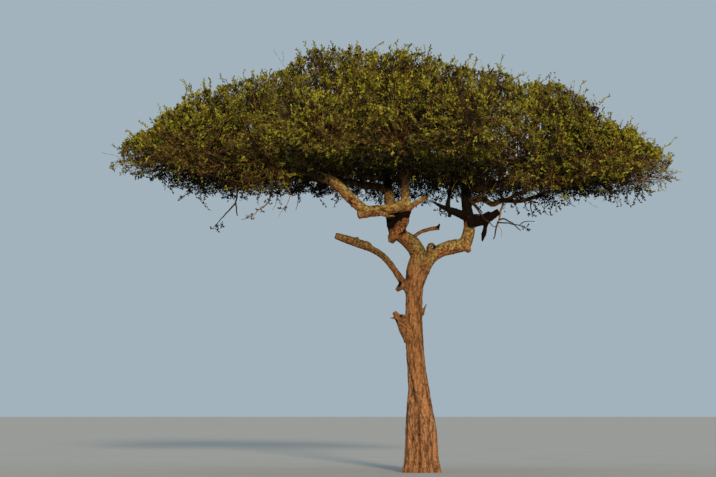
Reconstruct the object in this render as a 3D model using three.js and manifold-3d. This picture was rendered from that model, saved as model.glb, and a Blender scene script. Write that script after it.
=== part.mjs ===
// A desert date tree: a leaning trunk with a flared foot, two main limbs that fork into boughs,
// dead stubs, and a wide domed crown made of separate masses of foliage.
// Units are millimetres, +Z is up, +X is to the viewer's right and -Y is towards the viewer.
// The origin is the middle of the flat cut at ground level.
import * as THREE from "three";
import { mergeVertices } from "three/addons/utils/BufferGeometryUtils.js";
import Module from "manifold-3d";

const wasm = await Module();
wasm.setup();

// Driving dimensions of the crown
const CROWN_X = -575; // the crown's middle, across the view
const CROWN_HALF_WIDTH = 6080;
const CROWN_HALF_DEPTH = 5400;
const CROWN_TOP = 8770; // the dome's top, before each mass adds its own crest
const CROWN_RIM = 6560; // the top of the foliage at the rim
const CROWN_UNDER = 5780; // the underside near the trunk, about as high as a giraffe reaches
const UNDER_RISE = 560; // how much the underside lifts at the rim
const DOME_POWER = 3;
const CREST_FALL = 0.16; // how fast a mass's top falls away from its middle

// The masses of foliage stand in three rings round the middle of the crown. Each rises by its own
// crest over the dome, and hangs by its own sag below the underside. A sag under 0 lifts it.
const RINGS = [
  { name: "top", share: 0.26, turn: 90, shift: -420, crests: [290, 110, -170], sags: [0, -300, -150] },
  {
    name: "middle",
    share: 0.57,
    turn: 30,
    shift: 0,
    crests: [0, 0, 0, -170, 0, -250],
    sags: [150, 0, -100, 110, -450, 80],
  },
  {
    name: "outer",
    share: 0.865,
    turn: 0,
    shift: 0,
    crests: [-280, 0, 0, 0, 0, -60, 220, 0, 200, -90],
    sags: [160, 80, 0, -100, 60, -100, 0, -350, -320, 50],
  },
];
const SPACE_GAP = 35; // each side of the plane between two masses
const CORE_OPEN = 0.84; // how far the core fills the way to the crown's outside
const CORE_NEAR = 0.93; // how far it fills the way to its neighbours
const CORE_UNDER = 0.8; // of that share, on the core's underside, where the boughs run
const MIDDLE_HEIGHT = 0.56; // of the crown's thickness, where a mass's middle lies
const FINENESS = 8; // detail smaller than this is evened out of a mass
const TWIGS = 9; // from each core
const LEAVES_PER_TWIG = 1; // besides the one at its tip
const CORE_LEAVES = 18; // rooted in the core between the twigs
const LEAF_SCALES = [1, 0.8, 0.64, 0.5]; // the first of these at which a leaf fits is used
const LEAF = { length: 560, width: 260, thickness: 34 };
const LEAF_ROOT = 45; // how deep a leaf's root is sunk
const TWIG_RADIUS = 24;

const TOUCH = 0.45; // touching pieces stay about this far apart
const SLIVER = 0.06; // edges shorter than this are closed up
const LIMB_CLEARANCE = 8; // foliage keeps this far from a limb
const GOLDEN_ANGLE = Math.PI * (3 - Math.sqrt(5));

const BARK_LOW = new THREE.MeshStandardMaterial({ color: 0x96694b, roughness: 0.95, metalness: 0 });
const BARK_HIGH = new THREE.MeshStandardMaterial({ color: 0xa38b5c, roughness: 0.95, metalness: 0 });
const DEAD_WOOD = new THREE.MeshStandardMaterial({ color: 0x8c7150, roughness: 0.95, metalness: 0 });
const FOLIAGE = new THREE.MeshStandardMaterial({ color: 0x5d6420, roughness: 0.6, metalness: 0 });

const vec = (p) => new THREE.Vector3(...p);
const radians = THREE.MathUtils.degToRad;

// A repeatable scatter from 0 to 1 for an item and one of its traits
function scatter(item, trait) {
  const wave = Math.sin(item * 12.9898 + trait * 78.233) * 43758.5453;
  return wave - Math.floor(wave);
}

// Solids and meshes

function merged(geometry) {
  const bare = geometry.clone();
  bare.deleteAttribute("normal");
  bare.deleteAttribute("uv");
  return mergeVertices(bare, 1e-3);
}

function solidOf(geometry) {
  return new wasm.Manifold(
    new wasm.Mesh({
      numProp: 3,
      vertProperties: new Float32Array(geometry.attributes.position.array),
      triVerts: new Uint32Array(geometry.index.array),
    }),
  );
}

// The same shape with its surface moved outwards
function swollen(geometry, by) {
  const grown = geometry.clone();
  grown.computeVertexNormals();
  const { position, normal } = grown.attributes;
  for (let i = 0; i < position.count; i++) {
    position.setXYZ(
      i,
      position.getX(i) + by * normal.getX(i),
      position.getY(i) + by * normal.getY(i),
      position.getZ(i) + by * normal.getZ(i),
    );
  }
  grown.deleteAttribute("normal");
  return grown;
}

// The largest piece of a solid, evened out: loose scraps are dropped and sealed hollows are filled
function mainBody(solid, fineness = SLIVER) {
  const bodies = solid.decompose().sort((a, b) => b.volume() - a.volume());
  return bodies[0].asOriginal().simplify(fineness);
}

function geometryOf(solid) {
  const mesh = solid.getMesh();
  const points = new Float32Array(mesh.numVert * 3);
  for (let i = 0; i < mesh.numVert; i++) {
    points.set(mesh.vertProperties.subarray(i * mesh.numProp, i * mesh.numProp + 3), i * 3);
  }
  const geometry = new THREE.BufferGeometry();
  geometry.setAttribute("position", new THREE.BufferAttribute(points, 3));
  geometry.setIndex(new THREE.BufferAttribute(new Uint32Array(mesh.triVerts), 1));
  geometry.computeVertexNormals();
  return geometry;
}

// Limbs

// A closed tapering tube: a cylinder whose rings are laid along a curve
function tube(curve, radiusAt, sides, steps) {
  const frames = curve.computeFrenetFrames(steps, false);
  const geometry = new THREE.CylinderGeometry(1, 1, 1, sides, steps);
  const { position } = geometry.attributes;
  const point = new THREE.Vector3();
  for (let i = 0; i < position.count; i++) {
    const share = THREE.MathUtils.clamp(position.getY(i) + 0.5, 0, 1);
    const ring = Math.round(share * steps);
    const across = frames.normals[ring];
    const aside = new THREE.Vector3().crossVectors(across, frames.tangents[ring]);
    const radius = radiusAt(ring / steps);
    curve.getPointAt(ring / steps, point);
    point.addScaledVector(across, radius * position.getX(i));
    point.addScaledVector(aside, radius * position.getZ(i));
    position.setXYZ(i, point.x, point.y, point.z);
  }
  return merged(geometry);
}

// A limb through a few points, with a radius at its start and its end, and a broken or a rounded tip
function limbGeometry({ path, radii, tip = "round", step = 230 }) {
  const curve = new THREE.CatmullRomCurve3(path.map(vec), false, "centripetal");
  const length = curve.getLength();
  const [first, last] = radii;
  const steps = Math.max(3, Math.round(length / step));
  const sides = first > 100 ? 10 : first > 80 ? 8 : 6;
  const taper = (share) => first + (last - first) * share;
  const rounded = (share) => taper(share) * (share === 1 ? 0.72 : 1);
  return tube(curve, tip === "round" ? rounded : taper, sides, steps);
}

// The trunk: level rings up a leaning line, fluted and flared at the foot, swelling below the fork
const TRUNK_RINGS = [
  { height: 0, middle: 0, radius: 415, flute: 0.09 },
  { height: 220, middle: 0, radius: 368, flute: 0.08 },
  { height: 560, middle: 5, radius: 344, flute: 0.06 },
  { height: 920, middle: 0, radius: 334, flute: 0.06 },
  { height: 1280, middle: -23, radius: 292, flute: 0.06 },
  { height: 1700, middle: -40, radius: 226, flute: 0.05 },
  { height: 2100, middle: -75, radius: 203, flute: 0.04 },
  { height: 2660, middle: -124, radius: 192, flute: 0.03 },
  { height: 3300, middle: -146, radius: 177, flute: 0.02 },
  { height: 3640, middle: -148, radius: 174, flute: 0.02 },
  { height: 3860, middle: -142, radius: 186, flute: 0.02 },
  { height: 4080, middle: -96, radius: 222, flute: 0.02 },
  { height: 4300, middle: -30, radius: 230, flute: 0.02 },
  { height: 4480, middle: -6, radius: 196, flute: 0.02 },
  { height: 4570, middle: 0, radius: 120, flute: 0.0 },
];
const TRUNK_SIDES = 18;
const TRUNK_FLUTES = 5;
const FLUTE_TURN = 0.9;

function trunkGeometry() {
  const steps = TRUNK_RINGS.length - 1;
  const geometry = new THREE.CylinderGeometry(1, 1, 1, TRUNK_SIDES, steps);
  geometry.rotateX(Math.PI / 2); // its length along +Z
  const { position } = geometry.attributes;
  for (let i = 0; i < position.count; i++) {
    const ring = TRUNK_RINGS[Math.round((position.getZ(i) + 0.5) * steps)];
    const angle = Math.atan2(position.getY(i), position.getX(i));
    const reach = Math.hypot(position.getX(i), position.getY(i));
    const flute = 1 + ring.flute * Math.cos(TRUNK_FLUTES * angle + FLUTE_TURN);
    const radius = ring.radius * flute * reach;
    position.setXYZ(i, ring.middle + radius * Math.cos(angle), radius * Math.sin(angle), ring.height);
  }
  return merged(geometry);
}

// The limbs that show, each after the one that it grows from. A knob is a short broken piece fused to
// its limb.
const LIMBS = [
  {
    name: "leader",
    path: [[-10, 0, 4200], [-40, 0, 4520], [-190, 0, 4790], [-460, 10, 4990]],
    radii: [186, 150],
    knobs: [{ path: [[-500, -40, 4960], [-590, -70, 4860], [-680, -90, 4750]], radii: [88, 46] }],
  },
  {
    name: "right_limb",
    path: [[20, -10, 4230], [180, -20, 4480], [400, -30, 4640], [660, -30, 4730], [925, -30, 4815]],
    radii: [150, 126],
    knobs: [{ path: [[900, -40, 4780], [960, -50, 4690], [1030, -60, 4600]], radii: [70, 26] }],
  },
  {
    name: "front_riser",
    path: [[-430, -20, 4960], [-450, -50, 5130], [-380, -110, 5330], [-290, -190, 5560]],
    radii: [140, 118],
  },
  {
    name: "back_riser",
    path: [[-500, 30, 4980], [-590, 130, 5220], [-640, 250, 5600], [-700, 400, 6100], [-800, 600, 6640]],
    radii: [138, 74],
  },
  {
    name: "crossing_limb",
    path: [[-240, -200, 5580], [-480, -260, 5605], [-800, -310, 5535], [-1270, -360, 5470]],
    radii: [118, 112],
    knobs: [{ path: [[-1230, -360, 5450], [-1270, -380, 5380], [-1310, -400, 5310]], radii: [84, 52] }],
  },
  {
    name: "left_limb",
    path: [
      [-1260, -360, 5470], [-1450, -380, 5730], [-1730, -430, 5985], [-2120, -500, 6190], [-2620, -560, 6320],
    ],
    radii: [116, 68],
  },
  {
    name: "front_upright",
    path: [[-330, -230, 5600], [-335, -300, 5920], [-320, -420, 6300], [-290, -520, 6640]],
    radii: [90, 66],
  },
  {
    name: "right_upright",
    path: [
      [925, -30, 4790], [1000, -10, 5010], [1010, 30, 5280], [960, 90, 5640], [945, 170, 6020],
      [960, 220, 6420],
    ],
    radii: [128, 78],
  },
  {
    name: "right_spur",
    path: [[1030, 10, 5230], [1260, 0, 5260], [1440, -20, 5340], [1640, -30, 5470]],
    radii: [104, 66],
    knobs: [{ path: [[1380, -10, 5290], [1340, -30, 5090], [1280, -50, 4830]], radii: [58, 16] }],
  },
  {
    name: "inner_spur",
    path: [[930, 60, 5380], [715, 30, 5460], [480, -30, 5550], [260, -80, 5660]],
    radii: [68, 26],
  },
  {
    name: "right_long_bough",
    path: [
      [990, 90, 5660], [1280, 60, 5740], [1510, 20, 5620], [1700, 0, 5700], [2100, -40, 5690],
      [2600, -80, 5830],
    ],
    radii: [66, 34],
  },
  {
    name: "dead_limb",
    path: [
      [-270, -40, 3800], [-480, -90, 4120], [-780, -160, 4500], [-1180, -250, 4730], [-1795, -350, 4940],
    ],
    radii: [74, 56],
    tip: "broken",
    knobs: [
      { path: [[-370, -60, 3990], [-450, -80, 3880], [-505, -90, 3810]], radii: [76, 36] },
      { path: [[-1090, -225, 4690], [-1300, -265, 4780], [-1520, -305, 4860]], radii: [78, 70] },
    ],
  },
  {
    name: "low_stub",
    path: [[-230, -20, 2900], [-370, -45, 3060], [-440, -60, 3180], [-545, -80, 3340]],
    radii: [150, 48],
    tip: "broken",
    knobs: [
      { path: [[-280, -40, 3200], [-400, -60, 3240], [-490, -70, 3250]], radii: [80, 56] },
      { path: [[-470, -80, 3215], [-570, -90, 3228], [-655, -100, 3225]], radii: [32, 12] },
    ],
  },
  {
    name: "crossing_stub",
    path: [[-240, -200, 5540], [-60, -240, 5660], [130, -260, 5775]],
    radii: [56, 46],
    tip: "broken",
  },
  {
    name: "leader_stub",
    path: [[-230, 60, 4880], [-20, 120, 5035], [180, 160, 5105], [385, 180, 5140]],
    radii: [44, 42],
    tip: "broken",
  },
  {
    name: "curled_stub",
    path: [[110, -80, 4490], [130, -100, 4700], [205, -105, 4790], [290, -100, 4740], [300, -90, 4690]],
    radii: [54, 42],
    tip: "broken",
    step: 70,
  },
];

// Dead branches that hang from a bough at a share of its length. Their points are counted from there.
const HANGING = [
  {
    name: "hanging_branch_left",
    from: "bough_outer_6",
    at: 0.52,
    path: [[0, 0, -30], [-60, -20, -350], [-137, -40, -800], [-105, -50, -1090]],
    radii: [34, 18],
    side: { path: [[-130, -40, -820], [-350, -60, -1060], [-600, -80, -1340]], radii: [19, 9] },
  },
  {
    name: "hanging_branch_right",
    from: "right_long_bough",
    at: 0.48,
    path: [[0, 0, -20], [-60, -30, -240], [-130, -50, -500], [-220, -70, -820]],
    radii: [28, 12],
    side: { path: [[-110, -45, -410], [60, -60, -410], [350, -90, -640]], radii: [17, 8] },
  },
];

// The crown's space

const RIM_WAVE = [0.03, 0.02]; // slow bulges of the rim, as shares of its radius

// How far out a point is, from 0 at the middle of the crown to 1 at its rim
function outwards(x, y) {
  const across = (x - CROWN_X) / CROWN_HALF_WIDTH;
  const deep = y / CROWN_HALF_DEPTH;
  const angle = Math.atan2(deep, across);
  const rim = 1 - RIM_WAVE[0] * (1 - Math.cos(4 * angle)) / 2 - RIM_WAVE[1] * (1 - Math.cos(10 * angle)) / 2;
  return Math.hypot(across, deep) / rim;
}

function topOf(out) {
  return CROWN_RIM + (CROWN_TOP - CROWN_RIM) * (1 - out ** DOME_POWER);
}

function underOf(out) {
  return CROWN_UNDER + UNDER_RISE * out ** 4;
}

function crownMasses() {
  const masses = [];
  for (const ring of RINGS) {
    const count = ring.crests.length;
    for (let k = 0; k < count; k++) {
      const item = masses.length;
      const angle = radians(ring.turn + (360 * k) / count + 7 * (scatter(item, 1) - 0.5));
      const x = CROWN_X + ring.shift + ring.share * CROWN_HALF_WIDTH * Math.cos(angle);
      const y = ring.share * CROWN_HALF_DEPTH * Math.sin(angle);
      const out = outwards(x, y);
      const [crest, sag] = [ring.crests[k], ring.sags[k]];
      const low = underOf(out) - sag;
      const middle = new THREE.Vector3(x, y, low + MIDDLE_HEIGHT * (topOf(out) + crest - low));
      masses.push({ item, place: ring.name + "_" + (k + 1), middle, crest, sag });
    }
  }
  return masses;
}

const MASSES = crownMasses();

// True where a point is in the crown, with the crest and the sag that a mass adds to it
function inCrown(mass, p) {
  const out = outwards(p.x, p.y);
  const away = Math.hypot(p.x - mass.middle.x, p.y - mass.middle.y);
  const fall = CREST_FALL * Math.max(0, away - 500);
  return out < 1 && p.z < topOf(out) + mass.crest - fall && p.z > underOf(out) - mass.sag + fall / 2;
}

// True where a point is in the crown and nearer in plan to this mass's middle than to any other's
function inSpace(mass, p) {
  if (!inCrown(mass, p)) return false;
  for (const other of MASSES) {
    if (other === mass) continue;
    const dx = other.middle.x - mass.middle.x;
    const dy = other.middle.y - mass.middle.y;
    const apart = Math.hypot(dx, dy);
    const along = ((p.x - mass.middle.x) * dx + (p.y - mass.middle.y) * dy) / apart;
    if (along > apart / 2 - SPACE_GAP) return false;
  }
  return true;
}

// How far a line from a mass's middle runs before it leaves the mass's space
function reach(mass, direction) {
  const stride = 40;
  const p = mass.middle.clone();
  let run = 0;
  while (inSpace(mass, p)) {
    run += stride;
    p.addScaledVector(direction, stride);
  }
  return run - stride;
}

// Whether a line from a mass's middle leaves the crown, and doesn't run into a neighbour
function opensOut(mass, direction) {
  const past = mass.middle.clone().addScaledVector(direction, reach(mass, direction) + 2 * SPACE_GAP);
  return !inCrown(mass, past);
}

// Directions spread evenly over a ball, of which those are kept that lead out of the crown
function outwardDirections(mass, wanted, turn) {
  const tried = 3 * wanted;
  const open = [];
  for (let k = 0; k < tried; k++) {
    const height = 1 - (2 * k + 1) / tried;
    const wide = Math.sqrt(1 - height * height);
    const angle = k * GOLDEN_ANGLE + turn;
    const direction = new THREE.Vector3(wide * Math.cos(angle), wide * Math.sin(angle), height);
    if (opensOut(mass, direction)) open.push(direction);
  }
  const stride = Math.max(1, open.length / wanted);
  const kept = [];
  for (let k = 0; k < open.length && kept.length < wanted; k += stride) kept.push(open[Math.floor(k)]);
  return kept;
}

// Boughs that carry the masses. Each leaves its limb at a share of the limb's length.
const CARRIERS = {
  top_1: { limb: "back_riser", at: 1 },
  top_2: { limb: "front_upright", at: 1 },
  top_3: { limb: "right_upright", at: 1 },
  middle_1: { limb: "right_upright", at: 0.8 },
  middle_2: { limb: "back_riser", at: 0.86 },
  middle_3: { limb: "back_riser", at: 0.72 },
  middle_4: { limb: "left_limb", at: 1 },
  middle_5: { limb: "front_upright", at: 0.8 },
  middle_6: { limb: "right_long_bough", at: 1 },
  outer_1: { limb: "right_long_bough", at: 0.74 },
  outer_2: { limb: "right_upright", at: 0.7 },
  outer_3: { limb: "right_upright", at: 0.9 },
  outer_4: { limb: "back_riser", at: 0.94 },
  outer_5: { limb: "back_riser", at: 0.6 },
  outer_6: { limb: "left_limb", at: 0.84 },
  outer_7: { limb: "left_limb", at: 0.62 },
  outer_8: { limb: "front_upright", at: 0.62 },
  outer_9: { limb: "front_upright", at: 0.92 },
  outer_10: { limb: "right_long_bough", at: 0.5 },
};
const BOUGH_TIP = 30; // radius where a bough meets its mass's stem
const BOUGH_RISE = 0.1; // the least that a bough climbs, as a share of its way out
const BOUGH_ARCH = 0.02; // of a bough's span
const BOUGH_SWAY = 0.09; // of a bough's span, to one side or the other
const STEM_SHARE = 0.55; // of a mass's reach back towards its limb, where its stem starts

const limbCurve = (limb) => new THREE.CatmullRomCurve3(limb.path.map(vec), false, "centripetal");
const limbRadius = (limb, share) => limb.radii[0] + (limb.radii[1] - limb.radii[0]) * share;

// Where a mass's stem starts: low in its space, on the side that its limb comes from
function stemFoot(mass, from) {
  const back = new THREE.Vector3().subVectors(from, mass.middle).setZ(0).normalize();
  const side = reach(mass, back) * STEM_SHARE;
  const foot = mass.middle.clone().addScaledVector(back, side);
  const low = underOf(outwards(foot.x, foot.y));
  foot.z = low + 0.2 * (mass.middle.z - low) + 120;
  foot.z = Math.max(foot.z, from.z + BOUGH_RISE * Math.hypot(foot.x - from.x, foot.y - from.y));
  return foot;
}

// The bough from a limb to a mass, rising from the limb and arching out to the stem's foot
function carrierBough(mass) {
  const carrier = CARRIERS[mass.place];
  const limb = LIMBS.find((l) => l.name === carrier.limb);
  const from = limbCurve(limb).getPointAt(carrier.at);
  const foot = stemFoot(mass, from);
  const span = from.distanceTo(foot);
  const sway = BOUGH_SWAY * span * (scatter(mass.item, 12) - 0.5);
  const side = new THREE.Vector3(from.y - foot.y, foot.x - from.x, 0).normalize();
  const path = [0, 0.33, 0.7, 1].map((share) => {
    const p = from.clone().lerp(foot, share).addScaledVector(side, sway * Math.sin(Math.PI * share));
    p.z += BOUGH_ARCH * span * Math.sin(Math.PI * share);
    return [p.x, p.y, p.z];
  });
  const first = Math.min(limbRadius(limb, carrier.at) * 0.85, 32 + span * 0.015);
  return {
    name: "bough_" + mass.place,
    path,
    radii: [first, BOUGH_TIP],
    tip: "broken",
    step: 620,
  };
}

// Foliage

const LIMB_MARKS = [];

// A blade of eight faces, widest past its middle, that grows along +Y from its root
function leafGeometry(size) {
  const geometry = merged(new THREE.OctahedronGeometry(1, 0));
  const { position } = geometry.attributes;
  for (let i = 0; i < position.count; i++) {
    const [x, y, z] = [position.getX(i), position.getY(i), position.getZ(i)];
    const along = y === 0 ? 0.58 : (y + 1) / 2;
    position.setXYZ(i, (x * size.width) / 2, along * size.length, (z * size.thickness) / 2);
  }
  return geometry;
}

const LEAF_SHAPE = leafGeometry(LEAF);

// A leaf's solid from its root, in a direction, turned about that direction
function leafSolid(root, direction, turn, scale) {
  const stand = new THREE.Quaternion().setFromUnitVectors(new THREE.Vector3(0, 1, 0), direction);
  stand.multiply(new THREE.Quaternion().setFromAxisAngle(new THREE.Vector3(0, 1, 0), turn));
  const matrix = new THREE.Matrix4().compose(root, stand, new THREE.Vector3(scale, scale, scale));
  return solidOf(LEAF_SHAPE.clone().applyMatrix4(matrix));
}

// A pointed three-sided twig
function twigSolid(from, to, radius) {
  const along = new THREE.Vector3().subVectors(to, from);
  const geometry = merged(new THREE.ConeGeometry(radius, along.length(), 3, 1));
  const stand = new THREE.Quaternion().setFromUnitVectors(
    new THREE.Vector3(0, 1, 0),
    along.clone().normalize(),
  );
  const middle = from.clone().lerp(to, 0.5);
  geometry.applyMatrix4(new THREE.Matrix4().compose(middle, stand, new THREE.Vector3(1, 1, 1)));
  return solidOf(geometry);
}

// The core: a ball drawn out to a share of the mass's reach in every direction
function coreSolid(mass) {
  const geometry = merged(new THREE.IcosahedronGeometry(1, 1));
  const { position } = geometry.attributes;
  for (let i = 0; i < position.count; i++) {
    const direction = new THREE.Vector3().fromBufferAttribute(position, i).normalize();
    const fill = opensOut(mass, direction) ? CORE_OPEN : CORE_NEAR;
    const lower = direction.z < -0.2 ? CORE_UNDER : 1;
    const share = fill * lower * (0.92 + 0.16 * scatter(mass.item * 97 + i, 3));
    const p = mass.middle.clone().addScaledVector(direction, reach(mass, direction) * share);
    position.setXYZ(i, p.x, p.y, p.z);
  }
  return solidOf(geometry);
}

// Whether a point lies clear of every limb
function clearOfLimbs(p, margin) {
  return LIMB_MARKS.every((mark) => mark.point.distanceTo(p) > mark.radius + margin);
}

// Whether a leaf's tip and both its edges are in the mass's space, and no part of it touches a limb
function leafFits(mass, root, direction, turn, scale) {
  for (const along of [0.25, 0.5, 0.75, 1]) {
    const p = root.clone().addScaledVector(direction, along * LEAF.length * scale);
    if (!clearOfLimbs(p, LEAF.width * 0.5)) return false;
  }
  const stand = new THREE.Quaternion().setFromUnitVectors(new THREE.Vector3(0, 1, 0), direction);
  stand.multiply(new THREE.Quaternion().setFromAxisAngle(new THREE.Vector3(0, 1, 0), turn));
  const marks = [[0, 1], [0.5, 0.58], [-0.5, 0.58]];
  return marks.every(([across, along]) => {
    const mark = new THREE.Vector3(across * LEAF.width, along * LEAF.length, 0).multiplyScalar(scale);
    return inSpace(mass, mark.applyQuaternion(stand).add(root));
  });
}

// A leaf at the largest size that fits, or none
function fittedLeaf(mass, root, direction, turn, scale) {
  const fitting = LEAF_SCALES.find((share) => leafFits(mass, root, direction, turn, share * scale));
  return fitting ? [leafSolid(root, direction, turn, fitting * scale)] : [];
}

// Leaves along one twig, on alternate sides, and one at its tip
function leavesOfTwig(mass, k, direction, length) {
  const leaves = [];
  const side = new THREE.Vector3().crossVectors(direction, new THREE.Vector3(0.3, 0.2, 1)).normalize();
  for (let n = 0; n <= LEAVES_PER_TWIG; n++) {
    const item = mass.item * 1000 + k * 10 + n;
    const scale = 0.85 + 0.3 * scatter(item, 5);
    const atTip = n === LEAVES_PER_TWIG;
    const spin = n * GOLDEN_ANGLE * 2 + 6 * scatter(item, 6);
    const sideways = side.clone().applyAxisAngle(direction, spin);
    const lean = atTip ? 0.12 : 0.75;
    const heading = direction.clone().addScaledVector(sideways, lean).normalize();
    const run = atTip
      ? Math.max(0, length - LEAF.length * scale * 0.93)
      : length * (0.6 + (0.3 * n) / LEAVES_PER_TWIG);
    const root = mass.middle.clone().addScaledVector(direction, run);
    root.addScaledVector(heading, -LEAF_ROOT);
    const turn = Math.PI * scatter(item, 7);
    leaves.push(...fittedLeaf(mass, root, heading, turn, scale));
  }
  return leaves;
}

// A leaf that stands out of the core
function coreLeaf(mass, outward, k) {
  const item = mass.item * 1000 + 500 + k;
  const free = reach(mass, outward);
  const side = new THREE.Vector3(scatter(item, 9) - 0.5, scatter(item, 10) - 0.5, scatter(item, 11) - 0.5);
  const heading = outward.clone().addScaledVector(side, 0.9).normalize();
  const root = mass.middle.clone().addScaledVector(outward, free * CORE_OPEN * 0.86);
  const turn = Math.PI * scatter(item, 7);
  return fittedLeaf(mass, root, heading, turn, 1);
}

function massSolid(mass, bough) {
  const curve = limbCurve(bough);
  const heading = curve.getTangentAt(1);
  const foot = vec(bough.path.at(-1)).addScaledVector(heading, 0.3);
  const inside = mass.middle.clone().lerp(foot, 0.25);
  const bend = foot.clone().addScaledVector(heading, 0.35 * foot.distanceTo(inside));
  const stem = solidOf(
    limbGeometry({
      path: [foot, bend, inside].map((p) => [p.x, p.y, p.z]),
      radii: [BOUGH_TIP, BOUGH_TIP * 0.8],
      tip: "broken",
      step: 400,
    }),
  );
  const parts = [coreSolid(mass), stem];
  outwardDirections(mass, CORE_LEAVES, 6 * scatter(mass.item, 8)).forEach((direction, k) => {
    parts.push(...coreLeaf(mass, direction, k));
  });
  outwardDirections(mass, TWIGS, 6 * scatter(mass.item, 4)).forEach((direction, k) => {
    const length = reach(mass, direction) * 0.98;
    const from = mass.middle.clone().addScaledVector(direction, 0.3 * length);
    const to = mass.middle.clone().addScaledVector(direction, length);
    parts.push(twigSolid(from, to, TWIG_RADIUS), ...leavesOfTwig(mass, k, direction, length));
  });
  return mainBody(wasm.Manifold.union(parts), FINENESS);
}

// The tree

const WOOD = new Map();

// Adds a limb with its knobs, cut just clear of the wood that is there before it
function addWood(name, geometry, material, knobs = []) {
  const shapes = [geometry, ...knobs.map((knob) => limbGeometry({ tip: "broken", step: 130, ...knob }))];
  const grown = (by) => wasm.Manifold.union(shapes.map((shape) => solidOf(swollen(shape, by))));
  let solid = wasm.Manifold.union(shapes.map(solidOf));
  for (const wood of WOOD.values()) solid = solid.subtract(wood.touching);
  WOOD.set(name, {
    solid: mainBody(solid),
    touching: grown(TOUCH),
    wide: grown(LIMB_CLEARANCE),
    material,
  });
}

// Points along a limb with its radius there, for telling what lies near it
function markLimb(limb) {
  const curve = limbCurve(limb);
  const count = Math.ceil(curve.getLength() / 60);
  for (let k = 0; k <= count; k++) {
    LIMB_MARKS.push({ point: curve.getPointAt(k / count), radius: limbRadius(limb, k / count) });
  }
}

function barkOf(limb) {
  return limb.tip === "broken" ? DEAD_WOOD : BARK_HIGH;
}

addWood("trunk", trunkGeometry(), BARK_LOW, [
  { path: [[20, -20, 3340], [70, -30, 3430], [115, -35, 3510]], radii: [34, 8] },
]);
for (const limb of LIMBS) {
  addWood(limb.name, limbGeometry(limb), barkOf(limb), limb.knobs);
  markLimb(limb);
}

const BOUGHS = new Map(MASSES.map((mass) => [mass, carrierBough(mass)]));
for (const bough of BOUGHS.values()) {
  addWood(bough.name, limbGeometry(bough), BARK_HIGH);
  markLimb(bough);
}

for (const branch of HANGING) {
  const bearers = [...LIMBS, ...BOUGHS.values()];
  const start = limbCurve(bearers.find((limb) => limb.name === branch.from)).getPointAt(branch.at);
  const placed = ({ path, radii }) => ({
    path: path.map(([x, y, z]) => [start.x + x, start.y + y, start.z + z]),
    radii,
    tip: "broken",
  });
  addWood(branch.name, limbGeometry(placed(branch)), DEAD_WOOD, [placed(branch.side)]);
  markLimb(placed(branch));
}

const tree = new THREE.Group();

function addNode(name, solid, material) {
  const mesh = new THREE.Mesh(geometryOf(solid), material);
  mesh.name = name;
  tree.add(mesh);
}

for (const [name, wood] of WOOD) addNode(name, wood.solid, wood.material);

for (const [mass, bough] of BOUGHS) {
  let solid = massSolid(mass, bough);
  for (const [name, wood] of WOOD) {
    solid = solid.subtract(name === bough.name ? wood.touching : wood.wide);
  }
  addNode("foliage_" + mass.place, mainBody(solid), FOLIAGE);
}

export default tree;
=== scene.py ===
# %% [markdown]
# # A desert date tree
#
# The tree has three kinds of matter: thick wood, thin twigs and small stiff leaves. Each kind is
# made in its own way. The trunk and the main limbs are grown ring by ring and skinned over as one
# body. The boughs are plain tapering tubes. The twigs and leaves are too many to model by hand, so
# a rule grows them, and each kind is joined into a few meshes. The construction model gives the
# frame: every piece below stands where its solids stand.

# %% Load the frame
import math

import bpy
import numpy as np
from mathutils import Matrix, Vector, kdtree, noise


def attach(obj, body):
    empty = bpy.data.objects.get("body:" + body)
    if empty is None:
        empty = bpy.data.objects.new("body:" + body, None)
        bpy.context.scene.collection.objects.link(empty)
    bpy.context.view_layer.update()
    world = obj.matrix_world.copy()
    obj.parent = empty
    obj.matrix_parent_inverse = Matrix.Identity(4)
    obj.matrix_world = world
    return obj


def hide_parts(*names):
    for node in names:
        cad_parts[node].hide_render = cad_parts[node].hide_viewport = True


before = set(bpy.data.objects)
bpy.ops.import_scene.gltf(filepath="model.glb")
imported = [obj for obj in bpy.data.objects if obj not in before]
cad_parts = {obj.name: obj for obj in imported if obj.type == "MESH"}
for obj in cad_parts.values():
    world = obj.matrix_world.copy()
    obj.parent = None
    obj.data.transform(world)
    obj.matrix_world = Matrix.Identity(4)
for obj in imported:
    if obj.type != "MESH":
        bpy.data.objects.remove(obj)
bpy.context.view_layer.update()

bpy.ops.object.select_all(action="DESELECT")
WOOD_NODES = [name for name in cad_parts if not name.startswith("foliage")]
FOLIAGE_NODES = [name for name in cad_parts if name.startswith("foliage")]
print("wood nodes", len(WOOD_NODES), "foliage nodes", len(FOLIAGE_NODES))

# %% [markdown]
# A tree looks natural when no two twigs are alike, and yet the same tree has to grow on every run.
# One could use a random generator with a seed. Here a sine wave does it: the number of an item and
# of one of its traits go in, and a value from 0 to 1 comes out, always the same one. Noise vectors
# take their offsets from a seed, which Blender sets from the clock, so it is set to a fixed value.

# %% A repeatable scatter
NOISE_SEED = 1
ITEM_STEP, TRAIT_STEP, WAVE_HEIGHT = 12.9898, 78.233, 43758.5453

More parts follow.
